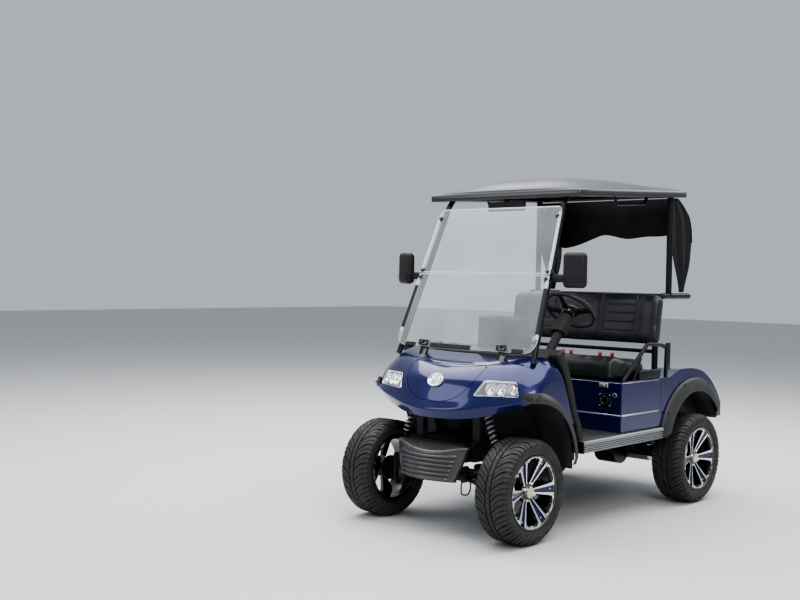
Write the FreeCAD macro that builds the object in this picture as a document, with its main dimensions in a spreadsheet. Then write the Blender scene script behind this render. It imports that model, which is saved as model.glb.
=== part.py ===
"""Lifted two-seat electric golf cart, as an assembly of separate pieces.

Millimetres, +Z up, +X to the vehicle's left, -Y forward. Pieces are laid out from the front axle
on the ground, with stations counted rearward along Y, and every piece is then placed so that the
origin lies under the middle of the vehicle, on the ground.
"""
import FreeCAD, Part
import math
import os
import re
import Sketcher

os.makedirs("parts", exist_ok=True)
doc = FreeCAD.newDocument("GolfCart")
Vector = FreeCAD.Vector

# Driving dimensions: name, millimetres (degrees where the name says so), meaning
SIZES = [
    ("wheelbase", 1700, "front axle to rear axle"),
    ("rear_overhang", 470, "rear axle to the back of the rear bumper"),
    ("tyre_radius", 279.5, "22 inch tyre"),
    ("tyre_width", 210, "over the sidewalls"),
    ("sidewall", 74.5, "tread to the rim's outer edge"),
    ("rim_width", 190, "outside the flanges"),
    ("bead_drop", 27, "rim's outer edge to the bead seat"),
    ("rim_wall", 7, "barrel wall"),
    ("disc_inset", 46, "rim edge to the face of the spokes at the hub"),
    ("disc_thick", 16, "spokes and hub plate"),
    ("hub_radius", 52, "hub plate"),
    ("spokes", 6, "pairs of spokes"),
    ("front_track", 493, "middle of the vehicle to the middle of a front tyre"),
    ("rear_track", 549, "middle of the vehicle to the middle of a rear tyre"),
    ("kingpin_side", 410, "middle of the vehicle to the kingpin"),
    ("kingpin_low", 208, "kingpin's lower end above the ground"),
    ("kingpin_high", 352, "kingpin's upper end above the ground"),
    ("spindle_radius", 17, "stub axle"),
    ("spindle_play", 0.06, "stub axle to hub bore"),
    ("arm_length", 100, "kingpin to tie rod eye"),
    ("rod_radius", 8, "tie rod"),
    ("seat_gap", 0.3, "between pieces that are seated but turn or lift off"),
    ("rail_side", 200, "middle of a frame rail"),
    ("rail_wide", 60, "frame rail"),
    ("rail_low", 400, "frame rail's underside"),
    ("rail_high", 500, "frame rail's top"),
    ("floor_thick", 12, "floor board"),
    ("floor_inset", 30, "floor's edge inside the body's side"),
    ("step_stand", 35, "side step's outer face outside the body's side"),
    ("step_low", 440, "side step's underside"),
    ("body_half", 575, "half the body's width"),
    ("wall", 6, "body panels"),
    ("pod_length", 460, "seat pod, front to back"),
    ("pod_to_axle", 380, "seam between pod and rear body to the rear axle"),
    ("pod_top", 808, "deck under the seat"),
    ("bay_half", 400, "half the battery bay's width"),
    ("cowl_low", 630, "chin of the front cowl"),
    ("arch_front_height", 400, "middle of the front wheel arch"),
    ("arch_rear_height", 362, "middle of the rear wheel arch"),
    ("arch_radius", 372, "wheel arch opening"),
    ("flare_depth", 48, "arch opening to the flare's top edge"),
    ("flare_stand", 37, "flares' lip outside the body's side"),
    ("cushion_inset", 55, "seat cushion's end inside the body's side"),
    ("cushion_lip", 12, "seat cushion ahead of the pod"),
    ("cushion_deep", 410, "seat cushion, front to back"),
    ("cushion_thick", 128, "seat cushion"),
    ("backrest_inset", 26, "seat back's end inside the body's side"),
    ("backrest_low", 1010, "seat back's lower edge"),
    ("backrest_tall", 310, "seat back"),
    ("backrest_thick", 82, "seat back"),
    ("backrest_gap", 4, "cushion to the seat back's front"),
    ("roof_inset", 23, "roof's edge inside the body's side"),
    ("roof_lap", 11.2, "windshield's top edge to the roof's front edge"),
    ("roof_to_axle", 60, "rear edge of the roof ahead of the rear axle"),
    ("roof_lift", 50, "windshield's top edge to the roof's underside"),
    ("roof_rise", 68, "how much higher the rear edge stands"),
    ("fascia", 40, "roof's edge band"),
    ("roof_skin", 6, "roof shell"),
    ("dome", 88, "crown of the roof over its edge band"),
    ("screen_inset", 66.5, "windshield's lower corner inside the body's side"),
    ("screen_taper", 66.5, "windshield's upper corner inside the lower one"),
    ("screen_foot", 85, "station of the windshield's foot"),
    ("screen_rise", 368, "windshield's lower edge above the cowl's chin"),
    ("lower_pane", 424, "height of the fixed pane"),
    ("upper_pane", 390, "height of the folding pane"),
    ("screen_lean", 22, "degrees that the windshield leans back"),
    ("screen_thick", 5, "acrylic panes"),
    ("strut_radius", 16, "roof struts"),
    ("wheel_side", 300, "steering wheel's middle to the vehicle's middle"),
    ("wheel_station", 720, "steering wheel's middle"),
    ("wheel_height", 1220, "steering wheel's middle above the ground"),
    ("wheel_radius", 150, "steering wheel's rim line"),
    ("wheel_grip", 14, "radius of the steering wheel's rim"),
    ("column_lean", 50, "degrees of the steering column above level"),
    ("column_radius", 26, "steering column's shroud"),
    ("rack_height", 1305, "bag rack's arms above the ground"),
    ("strut_to_axle", 185, "rear roof struts ahead of the rear axle"),
    ("rack_reach", 255, "bag rack's arms behind the struts"),
    ("rear_strut_inset", 75, "rear roof struts inside the body's side"),
    ("tube_radius", 19, "rear frame tubes"),
    ("mirror_stand", 47, "middle of a side mirror outside the body's side"),
    ("mirror_tall", 195, "side mirror's housing"),
    ("mirror_wide", 133, "side mirror's housing"),
    ("bumper_low", 299, "front bumper's lower edge"),
    ("bumper_high", 503, "front bumper's upper corners"),
    ("bumper_ribs", 5, "ridges across the bumper"),
    ("coil_radius", 27, "outside of a front shock's spring"),
    ("coil_wire", 5, "radius of the spring's wire"),
    ("receiver_width", 50.8, "square bore of the rear receiver"),
    ("receiver_wall", 6.35, "wall of the rear receiver"),
    ("pin_radius", 8, "hitch pin hole through the receiver's sides"),
    ("pin_setback", 63.5, "receiver's mouth to the pin hole"),
]

# Places that follow from them: name, where it lies, meaning
PLACES = [
    ("rear_reach", "wheelbase + rear_overhang", "back of the rear bumper"),
    ("rim_radius", "tyre_radius - sidewall", "outer edge of the rim"),
    ("bead_radius", "rim_radius - bead_drop", "where the tyre sits on the rim"),
    ("floor_half", "body_half - floor_inset", "floor's edge"),
    ("step_side", "body_half + step_stand", "outer face of the side step"),
    ("flare_side", "body_half + flare_stand", "outer lip of the flares"),
    ("cushion_half", "body_half - cushion_inset", "seat cushion's end"),
    ("backrest_half", "body_half - backrest_inset", "seat back's end"),
    ("roof_half", "body_half - roof_inset", "roof's edge"),
    ("screen_half", "body_half - screen_inset", "windshield's lower corner"),
    ("screen_top_half", "screen_half - screen_taper", "windshield's upper corner"),
    ("rear_strut_side", "body_half - rear_strut_inset", "rear roof struts"),
    ("mirror_side", "body_half + mirror_stand", "middle of a side mirror"),
    ("pod_back", "wheelbase - pod_to_axle", "seam between pod and rear body"),
    ("pod_front", "pod_back - pod_length", "front of the seat pod"),
    ("cushion_front", "pod_front - cushion_lip", "front of the seat cushion"),
    ("cushion_back", "cushion_front + cushion_deep", "back of the seat cushion"),
    ("backrest_front", "cushion_back + backrest_gap", "front of the seat back at its lower edge"),
    ("backrest_high", "backrest_low + backrest_tall", "seat back's top"),
    ("strut_station", "wheelbase - strut_to_axle", "rear roof struts"),
    ("screen_low", "cowl_low + screen_rise", "windshield's lower edge"),
    ("screen_mid", "screen_low + lower_pane", "hinge line between the two panes"),
    ("screen_high", "screen_mid + upper_pane", "windshield's top edge"),
    ("roof_front", "screen_foot + (screen_high - screen_low) * tan(screen_lean * 1 deg) + roof_lap",
     "front edge of the roof"),
    ("roof_back", "wheelbase - roof_to_axle", "rear edge of the roof"),
    ("roof_low", "screen_high + roof_lift", "underside of the roof's front edge"),
]
HOMES = {row[0]: "Sizes." for row in SIZES} | {row[0]: "Places." for row in PLACES}


def bound(text):
    """An expression over the sheets' names, as the document's objects read it."""
    return re.sub(r"[a-z_]+", lambda word: HOMES.get(word[0], "") + word[0], text)


sheet = doc.addObject("Spreadsheet::Sheet", "Sizes")
for row, (alias, value, meaning) in enumerate(SIZES, start=1):
    sheet.set(f"A{row}", alias)
    sheet.set(f"B{row}", str(value))
    sheet.set(f"C{row}", meaning)
    sheet.setAlias(f"B{row}", alias)
doc.recompute()
places = doc.addObject("Spreadsheet::Sheet", "Places")
for row, (alias, rule, meaning) in enumerate(PLACES, start=1):
    places.set(f"A{row}", alias)
    places.setAlias(f"B{row}", alias)
    places.set(f"C{row}", meaning)
for row, (alias, rule, meaning) in enumerate(PLACES, start=1):
    places.set(f"B{row}", "=" + bound(rule).replace("Places.", ""))
doc.recompute()


class SheetValues:
    """Reads a size or a place from its sheet by its name."""

    def __getattr__(self, alias):
        return float((sheet if HOMES[alias] == "Sizes." else places).get(alias))


v = SheetValues()
SHIFT = "(rear_reach - tyre_radius) / 2"
nodes = {}
skins = {}


def keep(node, item):
    """Names a finished sub-part and lists it for the hand-over."""
    item.Label = node
    nodes[node] = item
    return item


def place(item, x="0", station="0", z="0"):
    """Puts an item at a point given from the front axle on the ground."""
    item.setExpression("Placement.Base.x", bound(x))
    item.setExpression("Placement.Base.y", bound(f"{station} - {SHIFT}"))
    item.setExpression("Placement.Base.z", bound(z))
    return item


def feature(name, shape):
    """A shape laid out from the front axle, placed over the vehicle's origin."""
    item = doc.addObject("Part::Feature", name)
    item.Shape = shape
    return place(item)


def box(name, x, station, z):
    """A bound box; x, station and z are (low, high) expressions."""
    item = doc.addObject("Part::Box", name)
    for length, (low, high) in (("Length", x), ("Width", station), ("Height", z)):
        item.setExpression(length, bound(f"({high}) - ({low})"))
    return place(item, f"({x[0]})", f"({station[0]})", f"({z[0]})")


def cylinder(name, radius, length, x, station, z, along="z"):
    """A bound cylinder that starts at a point and runs along x, y or z."""
    item = doc.addObject("Part::Cylinder", name)
    item.setExpression("Radius", bound(radius))
    item.setExpression("Height", bound(length))
    turns = {"x": (Vector(0, 1, 0), 90), "y": (Vector(1, 0, 0), -90), "z": (Vector(0, 0, 1), 0)}
    item.Placement.Rotation = FreeCAD.Rotation(*turns[along])
    return place(item, f"({x})", f"({station})", f"({z})")


def outline(body, name, plane, corners):
    """A closed sketch whose corners are dimensioned from the origin by expressions."""
    sketch = body.newObject("Sketcher::SketchObject", name)
    support = [face for face in body.Origin.OriginFeatures if face.Role == plane][0]
    sketch.AttachmentSupport = [(support, "")]
    sketch.MapMode = "FlatFace"
    count = len(corners)
    ring = [Vector(100 * math.cos(2 * math.pi * i / count), 100 * math.sin(2 * math.pi * i / count), 0)
            for i in range(count)]
    for i in range(count):
        sketch.addGeometry(Part.LineSegment(ring[i], ring[(i + 1) % count]))
    for i in range(count):
        sketch.addConstraint(Sketcher.Constraint("Coincident", i, 2, (i + 1) % count, 1))
    for i, pair in enumerate(corners):
        starts = (ring[i].x, ring[i].y)
        for kind, text, start in zip(("DistanceX", "DistanceY"), pair, starts):
            index = sketch.addConstraint(Sketcher.Constraint(kind, -1, 1, i, 1, start))
            sketch.setExpression(f"Constraints[{index}]", bound(text))
    return sketch


def padded_body(name, corners, x, plane="YZ_Plane"):
    """A body padded across the vehicle from its side outline; x is (low, high) expressions."""
    body = doc.addObject("PartDesign::Body", name)
    pad = body.newObject("PartDesign::Pad", name + "_pad")
    pad.Profile = outline(body, name + "_outline", plane, corners)
    pad.setExpression("Length", bound(f"({x[1]}) - ({x[0]})"))
    return place(body, f"({x[0]})")


def fused(name, items):
    """One solid from several that meet."""
    item = doc.addObject("Part::MultiFuse", name)
    item.Shapes = items
    return item


def cut(name, base, tool):
    item = doc.addObject("Part::Cut", name)
    item.Base = base
    item.Tool = tool
    return item


def group(name, items):
    """Like pieces that share a node without touching."""
    item = doc.addObject("Part::Compound", name)
    item.Links = items
    return item


def pair(name, left):
    """A piece on the vehicle's left and its mirror image on the right."""
    right = doc.addObject("Part::Mirroring", name + "_right")
    right.Source = left
    right.Normal = Vector(1, 0, 0)
    return group(name, [left, right])


def rod(start, end, radius):
    """A round bar between two points."""
    start, end = Vector(*start), Vector(*end)
    return Part.makeCylinder(radius, (end - start).Length, start, end - start)


def bent_bar(points, radius):
    """Round bars end to end, with a ball at each bend, as one solid."""
    pieces = [rod(a, b, radius) for a, b in zip(points, points[1:])]
    pieces += [Part.makeSphere(radius, Vector(*point)) for point in points[1:-1]]
    return pieces[0].fuse(pieces[1:]).removeSplitter()


def prism(points, run):
    """A flat outline pushed along a vector."""
    corners = [Vector(*point) for point in points]
    return Part.Face(Part.makePolygon(corners + corners[:1])).extrude(Vector(*run))


def largest(shape):
    return max(shape.Solids, key=lambda solid: solid.Volume)


def mirrored(shape):
    return shape.mirror(Vector(0, 0, 0), Vector(1, 0, 0))


def frame_rails():
    """Two rails with cross members, step outriggers, rear bumper bar and receiver."""
    rows = [
        # x low, x high, station low, station high, z low, z high
        ("rail_side - rail_wide / 2", "rail_side + rail_wide / 2", "-60", "rear_reach - 60"),
        ("-rail_side - rail_wide / 2", "rail_wide / 2 - rail_side", "-60", "rear_reach - 60"),
        ("-rail_side", "rail_side", "-110", "-60"),
        ("-floor_half", "floor_half", "arch_radius + 8", "arch_radius + 58"),
        ("-floor_half", "floor_half", "pod_back - 60", "pod_back - 10"),
        ("-375", "375", "wheelbase - 330", "wheelbase - 290"),
        ("-375", "375", "wheelbase + 270", "wheelbase + 310"),
        ("-430", "430", "rear_reach - 60", "rear_reach"),
    ]
    bars = [box(f"frame_bar_{i}", row[:2], row[2:], ("rail_low", "rail_high")) for i, row in enumerate(rows)]
    tube = box("receiver_tube", ("-receiver_width / 2 - receiver_wall", "receiver_width / 2 + receiver_wall"),
               ("rear_reach - 180", "rear_reach - 5"),
               ("rail_low - receiver_width - 2 * receiver_wall", "rail_low"))
    bore = box("receiver_bore", ("-receiver_width / 2", "receiver_width / 2"),
               ("rear_reach - 181", "rear_reach - 4"),
               ("rail_low - receiver_width - receiver_wall", "rail_low - receiver_wall"))
    pin = cylinder("receiver_pin_hole", "pin_radius", "receiver_width + 4 * receiver_wall",
                   "-receiver_width / 2 - 2 * receiver_wall", "rear_reach - 5 - pin_setback",
                   "rail_low - receiver_wall - receiver_width / 2", "x")
    hitch = cut("receiver", cut("receiver_square", tube, bore), pin)
    keep("frame_rails", fused("frame_and_receiver", bars + [hitch]))


def floor_board():
    corners = [
        ("170", "cowl_low + 160"), ("182", "cowl_low + 167"), ("376", "rail_high + floor_thick"),
        ("pod_front", "rail_high + floor_thick"), ("pod_front", "rail_high"), ("370", "rail_high"),
    ]
    keep("floor_board", padded_body("floor", corners, ("-floor_half", "floor_half")))


def side_steps():
    front = "arch_radius + flare_depth + 4"
    back = f"wheelbase + 22 - ({front})"
    corners = [(front, "step_low"), (front, "rail_high + 8"), (back, "rail_high + 8"), (back, "step_low")]
    left = padded_body("step_left", corners, ("floor_half", "step_side"))
    keep("side_steps", pair("steps", left))


# Front cowl: sections across half the vehicle. Each row is the share of the half width, then
# (station, height over the chin) for chin, lip, lamp foot, badge, lamp top, hood, hood top, base, rear edge
COWL_SECTIONS = [
    (0.000, [(-190, 0), (-203, 46), (-170, 92), (-140, 198), (-100, 245),
             (-26, 284), (40, 306), (112, 326), (196, 346)]),
    (0.350, [(-150, 10), (-172, 60), (-148, 110), (-122, 200), (-82, 250),
             (-15, 290), (45, 311), (112, 328), (196, 348)]),
    (0.530, [(-105, 25), (-130, 75), (-117, 132), (-96, 180), (-72, 226),
             (5, 298), (58, 318), (114, 333), (198, 352)]),
    (0.780, [(-60, 70), (-85, 105), (-68, 140), (-50, 182), (-28, 227),
             (22, 282), (75, 314), (127, 340), (200, 364)]),
    (0.930, [(-15, 105), (-30, 120), (-15, 145), (8, 182), (35, 222),
             (80, 255), (120, 285), (165, 325), (215, 340)]),
    (1.000, [(28, 128), (22, 138), (32, 152), (52, 180), (75, 207),
             (105, 232), (140, 250), (185, 268), (240, 272)]),
]


def inward(points, depth):
    """The same open line moved to its inner side; its ends keep their direction."""
    moved = []
    last = len(points) - 1
    for i, (a, b) in enumerate(points):
        before, after = points[max(i - 1, 0)], points[min(i + 1, last)]
        run, rise = after[0] - before[0], after[1] - before[1]
        size = math.hypot(run, rise)
        moved.append((a + depth * rise / size, b - depth * run / size))
    return moved


def cowl_shell():
    """Panels between neighbouring sections, closed at each side by the fender's flat wall."""
    half = []
    for share, points in COWL_SECTIONS:
        outer = [(y, v.cowl_low + z) for y, z in points]
        loop = outer + inward(outer, v.wall)[::-1]
        x = share * v.body_half
        corners = [Vector(x, y, z) for y, z in loop]
        half.append(Part.makePolygon(corners + corners[:1]))
    left = Part.makeLoft(half, True, True)
    right = mirrored(left)
    low = v.arch_front_height
    edge = [(y, v.cowl_low + z) for y, z in COWL_SECTIONS[-1][1][2:]]
    side = edge + [(y, v.cowl_low + z) for y, z in ((262, 250), (302, 183), (352, 38), (382, -20))]
    reach = v.arch_radius + 2
    arc = [(reach * math.sin(math.radians(a)), low + reach * math.cos(math.radians(a)))
           for a in range(55, 0, -10)]
    wall = prism([(v.body_half - v.wall, y, z) for y, z in side + arc], (v.wall, 0, 0))
    return left.fuse([right, wall, mirrored(wall)])


def lamp_block(grow):
    """One lamp between its inner and outer end, standing back from the cowl's skin."""
    ends = [
        # x, then station and height over the chin of the front's foot and top
        (v.body_half - 313 - grow, (-127, 138), (-76, 222)),
        (v.body_half - 75 + grow, (-33, 142), (-2, 222)),
    ]
    rings = []
    for x, foot, top in ends:
        low, high = v.cowl_low + foot[1] - grow, v.cowl_low + top[1] + grow
        ahead, behind = 40 * grow, 60
        ring = [Vector(x, foot[0] - ahead, low), Vector(x, top[0] - ahead, high),
                Vector(x, top[0] + behind, high), Vector(x, foot[0] + behind, low)]
        rings.append(Part.makePolygon(ring + ring[:1]))
    return Part.makeLoft(rings, True, True)


def trim_block(grow):
    """Black edge of the door opening on the left, from the windshield's foot down to the step."""
    floor = v.rail_high + v.floor_thick
    chin = v.cowl_low
    corners = [
        (205, chin + 355), (262, chin + 275), (306, chin + 183), (358, chin + 35), (400, chin - 40),
        (425, floor), (470, floor), (445, chin - 30), (402, chin + 50), (350, chin + 205),
        (300, chin + 315), (225, chin + 380),
    ]
    start = v.body_half - 70 - grow
    points = [Vector(start, y, z) for y, z in corners]
    line = Part.makePolygon(points + points[:1])
    if grow:
        line = line.makeOffset2D(grow, 2, False, False, False)
    return Part.Face(line).extrude(Vector(v.body_half + 4 - start, 0, 0))


def front_body():
    """Cowl, hood panel and headlamps, cut from the same skin with a seam between them."""
    shell = cowl_shell()
    skins["cowl"] = shell
    gap, chin = v.seat_gap, v.cowl_low
    shield = [
        # x, height over the chin, and the way in from the seam
        (-236, 285, -1), (236, 285, -1), (205, 170, 1), (120, 112, 1),
        (0, 92, 1), (-120, 112, 1), (-205, 170, 1),
    ]
    inner = prism([(x * 0.995, -300, chin + z + way * gap) for x, z, way in shield], (0, 320, 0))
    outer = prism([(x, -300, chin + z) for x, z, way in shield], (0, 320, 0))
    panel = shell.common(inner)
    lamps = [lamp_block(0), mirrored(lamp_block(0))]
    holes = [lamp_block(gap), mirrored(lamp_block(gap))]
    trims = [trim_block(gap), mirrored(trim_block(gap))]
    keep("front_cowl", feature("cowl", shell.cut([outer] + holes + trims)))
    keep("hood_panel", feature("hood", panel))
    keep("headlamps", feature("lamps", Part.makeCompound(lamps)))


def cowl_trims():
    """Black edge of the door opening, from the windshield's foot down to the step."""
    left = trim_block(0)
    keep("cowl_trims", feature("trims", Part.makeCompound([left, mirrored(left)])))


def dashboard():
    corners = [
        ("209", "cowl_low + 350"), ("400", "cowl_low + 378"), ("408", "cowl_low + 330"),
        ("380", "cowl_low + 250"), ("300", "cowl_low + 230"), ("209", "cowl_low + 240"),
    ]
    raised = [
        ("300", "cowl_low + 355"), ("310", "cowl_low + 535"), ("330", "cowl_low + 555"),
        ("440", "cowl_low + 535"), ("400", "cowl_low + 420"), ("400", "cowl_low + 375"),
    ]
    board = padded_body("dash", corners, ("85 - body_half", "body_half - 85"))
    hood = padded_body("display_hood", raised, ("-60", "230"))
    passage = feature("column_passage", steering_shroud(v.seat_gap))
    keep("dashboard", cut("dash_for_column", fused("dash_and_hood", [board, hood]), passage))


def seat_pod():
    """Deck and walls under the seat, open over the battery bay and to the floor."""
    outer = box("pod_outer", ("-body_half", "body_half"), ("pod_front", "pod_back"),
                ("rail_high + floor_thick", "pod_top"))
    hollow = box("pod_hollow", ("wall - body_half", "body_half - wall"), ("pod_front + wall", "pod_back + 1"),
                 ("rail_high", "pod_top - wall"))
    bay = box("pod_bay", ("-bay_half", "bay_half"), ("pod_front + 70", "pod_back - 70"),
              ("pod_top - 2 * wall", "pod_top + 1"))
    keep("seat_pod", cut("pod", outer, fused("pod_inside", [hollow, bay])))


def rear_body():
    """Fenders and bag well behind the pod, hollow, with round wheel arches."""
    floor, top = v.rail_high + v.floor_thick, v.pod_top
    profile = [
        (v.pod_back, floor), (v.pod_back, top), (v.pod_back + 100, top), (v.wheelbase - 200, top + 25),
        (v.wheelbase - 150, top + 42), (v.wheelbase + 10, top + 42), (v.wheelbase + 160, top + 16),
        (v.wheelbase + 290, top - 63), (v.rear_reach - 100, top - 148), (v.rear_reach - 60, top - 208),
        (v.rear_reach - 60, floor),
    ]
    side = v.body_half
    outer = prism([(-side, y, z) for y, z in profile], (2 * side, 0, 0))
    well_half = 420
    well = Part.makeBox(2 * well_half, 900, 500, Vector(-well_half, v.pod_back + 190, 616))
    under = Part.makeBox(2 * (side - v.wall), v.rear_reach - 60 - v.pod_back - v.wall, 104,
                         Vector(v.wall - side, v.pod_back - 1, 506))
    lid = inward(profile[1:-1], v.wall)
    cavity = [(v.pod_back - 1, v.rail_high), (v.pod_back - 1, lid[0][1])] + lid[1:]
    cavity.append((v.rear_reach - 60 - v.wall, v.rail_high))
    wide = side - v.wall - well_half - v.wall
    hollow = prism([(well_half + v.wall, y, z) for y, z in cavity], (wide, 0, 0))
    front_bay = Part.makeBox(2 * (side - v.wall), 185, 290, Vector(v.wall - side, v.pod_back - 1, 510))
    middle = Vector(-side - 10, v.wheelbase + 22, v.arch_rear_height)
    arch = Part.makeCylinder(v.arch_radius, 2 * side + 20, middle, Vector(1, 0, 0))
    centre = Part.makeBox(2 * well_half, 900, 900, Vector(-well_half, v.wheelbase - 450, 0))
    body = outer.cut([well, under, hollow, mirrored(hollow), front_bay, arch.cut(centre)])
    keep("rear_body", feature("rear_panels", body))


def flare(station, height, start, end):
    """A lip turned about the wheel arch's middle, from start to end degrees back from the top."""
    inner, outer, lip = v.arch_radius, v.arch_radius + v.flare_depth, v.flare_side
    face = v.body_half + v.seat_gap
    section = [
        # x, radius
        (face, outer), (face + 14, outer - 3), (lip - 3, inner + 22), (lip, inner + 2), (lip - 4, inner - 2),
        (lip - 12, inner + 16), (face + 8, outer - 12), (face, outer - 10),
    ]
    middle = Vector(0, station, height)
    ring = prism_face([(x, station, height + r) for x, r in section])
    turn = FreeCAD.Rotation(Vector(1, 0, 0), -start)
    ring.Placement = FreeCAD.Placement(middle, turn, Vector(0, 0, 0)).multiply(
        FreeCAD.Placement(-middle, FreeCAD.Rotation()))
    return ring.revolve(middle, Vector(1, 0, 0), start - end)


def prism_face(points):
    corners = [Vector(*point) for point in points]
    return Part.Face(Part.makePolygon(corners + corners[:1]))


def flares():
    front = flare(0, v.arch_front_height, -16, 92)
    rear = flare(v.wheelbase + 22, v.arch_rear_height, -78, 62)
    keep("front_flares", feature("flares_front", Part.makeCompound([front, mirrored(front)])))
    keep("rear_flares", feature("flares_rear", Part.makeCompound([rear, mirrored(rear)])))


def front_bumper():
    """Ribbed skid across the front, in sections up its height."""
    steps = 2 * int(v.bumper_ribs)
    rings = []
    for i in range(steps + 1):
        share = i / steps
        z = v.bumper_low + share * (v.bumper_high - v.bumper_low - 12)
        half = 190 + 60 * share
        corner, middle = -194 + 44 * share, -246 + 26 * share
        rib = 0 if i % 2 else 8
        back = 18
        near, far = corner - rib, corner + back
        corners = [Vector(x, y, z) for x, y in ((-half, near), (half, near), (half, far), (-half, far))]
        front = Part.Arc(corners[0], Vector(0, middle - rib, z), corners[1])
        rear = Part.Arc(corners[2], Vector(0, middle + back, z), corners[3])
        ends = [Part.LineSegment(corners[1], corners[2]), Part.LineSegment(corners[3], corners[0])]
        rings.append(Part.Wire([edge.toShape() for edge in (front, ends[0], rear, ends[1])]))
    skid = Part.makeLoft(rings, True, True)
    stays = [Part.makeBox(30, 96, 40, Vector(x - 15, -206, v.rail_low + 20)) for x in (-120, 120)]
    keep("front_bumper", feature("bumper", skid.fuse(stays)))


def front_axle():
    """Cross member with an upper and a lower wishbone to each kingpin."""
    member = box("axle_member", ("-170", "170"), ("-85", "65"), ("190", "rail_low"))
    inside = box("axle_hollow", ("-150", "150"), ("-65", "45"), ("210", "rail_low + 1"))
    arms = []
    for tag, z in (("low", v.kingpin_low - 13), ("high", v.kingpin_high)):
        for side in (1, -1):
            tip = side * v.kingpin_side
            arm = prism([(side * 168, -70, z), (side * 168, 55, z), (tip, 15, z), (tip, -15, z)], (0, 0, 13))
            window = prism([(side * 190, -38, z - 1), (side * 190, 32, z - 1), (side * 330, 4, z - 1),
                            (side * 330, -6, z - 1)], (0, 0, 15))
            arms.append(arm.cut(window))
    towers = []
    for side in (1, -1):
        towers.append(Part.makeBox(50, 40, 200, Vector(side * 205 - 25, -20, v.rail_high)))
        towers.append(Part.makeBox(90, 40, 12, Vector(side * 230 - 45, -20, 690)))
    item = feature("wishbones_and_towers", arms[0].multiFuse(arms[1:]))
    tower = feature("shock_towers", towers[0].multiFuse(towers[1:2]))
    tower_right = feature("shock_towers_right", towers[2].multiFuse(towers[3:]))
    keep("front_axle", fused("axle", [cut("member", member, inside), item]))
    keep("shock_towers", group("towers", [tower, tower_right]))


def front_shocks():
    """Coil-over units: damper with a spring of plain rings joined by a sleeve."""
    top, foot = Vector(258, 0, 682), Vector(345, 0, v.kingpin_high + 90)
    run = foot - top
    way = Vector(run.x, run.y, run.z).normalize()
    parts = [Part.makeCylinder(12, run.Length, top, way), Part.makeCylinder(18, run.Length * 0.62, top, way)]
    turns = 7
    for i in range(turns):
        middle = top + way * (22 + i * 25)
        parts.append(Part.makeTorus(v.coil_radius - v.coil_wire - 3, v.coil_wire + 1, middle, way))
    unit = parts[0].multiFuse(parts[1:])
    stub = Part.makeCylinder(11, 92, Vector(foot.x, 0, v.kingpin_high + 13), Vector(0, 0, 1))
    unit = unit.fuse(stub)
    keep("front_shocks", feature("shocks", Part.makeCompound([unit, mirrored(unit)])))


def rear_axle():
    tube = cylinder("axle_tube", "32", "2 * rear_track - 130", "65 - rear_track", "wheelbase", "tyre_radius",
                    "x")
    case = cylinder("differential", "105", "150", "-75", "wheelbase", "tyre_radius", "x")
    ends = cylinder("rear_spindle", "spindle_radius", "2 * rear_track + 70", "-35 - rear_track", "wheelbase",
                    "tyre_radius", "x")
    keep("rear_axle", fused("axle_rear", [tube, case, ends]))
    keep("motor", cylinder("motor_block", "80", "170", "75", "wheelbase + 113", "tyre_radius", "x"))


def rear_springs():
    """A leaf pack on each side, under the ends of the cross members."""
    corners = [
        ("wheelbase - 330", "rail_low"), ("wheelbase - 290", "rail_low"),
        ("wheelbase - 290", "rail_low - 40"), ("wheelbase - 60", "tyre_radius + 52"),
        ("wheelbase + 60", "tyre_radius + 52"), ("wheelbase + 270", "rail_low - 40"),
        ("wheelbase + 270", "rail_low"), ("wheelbase + 310", "rail_low"),
        ("wheelbase + 310", "rail_low - 60"), ("wheelbase + 60", "tyre_radius + 32"),
        ("wheelbase - 60", "tyre_radius + 32"), ("wheelbase - 330", "rail_low - 60"),
    ]
    left = padded_body("leaf_left", corners, ("315", "365"))
    keep("rear_springs", pair("leaves", left))


def battery_pack():
    keep("battery_pack", box("battery", ("-250", "250"), ("pod_front + 80", "pod_back - 90"),
                             ("rail_high", "rail_high + 190")))


def column_direction():
    lean = math.radians(v.column_lean)
    return Vector(0, -math.cos(lean), -math.sin(lean))


def wheel_hub():
    return Vector(v.wheel_side, v.wheel_station, v.wheel_height)


def steering_shroud(grow):
    """The column's shroud with its thicker upper end, grown by a clearance."""
    down = column_direction()
    start = wheel_hub() + down * (56 + v.seat_gap)
    shroud = Part.makeCylinder(v.column_radius + grow, 720, start, down)
    return shroud.fuse(Part.makeCylinder(46 + grow, 120 + grow, start, down))


def steering():
    """Shroud down to the toe board, and the wheel that turns on its upper end."""
    hub = wheel_hub()
    down = column_direction()
    board, toe = v.rail_high + v.floor_thick, v.cowl_low + 167
    under_board = [(0, 182, toe), (0, 376, board), (0, 376, 300), (0, -100, 300), (0, -100, toe)]
    below = prism(under_board, (700, 0, 0))
    keep("steering_column", feature("column", largest(steering_shroud(0).cut(below))))
    rim = Part.makeTorus(v.wheel_radius, v.wheel_grip, hub, down)
    boss = Part.makeCylinder(44, 56, hub, down)
    boss = boss.fuse(Part.makeCylinder(60, 16, hub - down * 2, down))
    across = Vector(1, 0, 0)
    up = down.cross(across)
    spokes = []
    for angle in (0, 180, 270):
        turn = math.radians(angle)
        way = across * math.cos(turn) + up * math.sin(turn)
        spokes.append(rod(hub, hub + way * v.wheel_radius, 9))
    keep("steering_wheel", feature("wheel", rim.multiFuse([boss] + spokes)))


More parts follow.
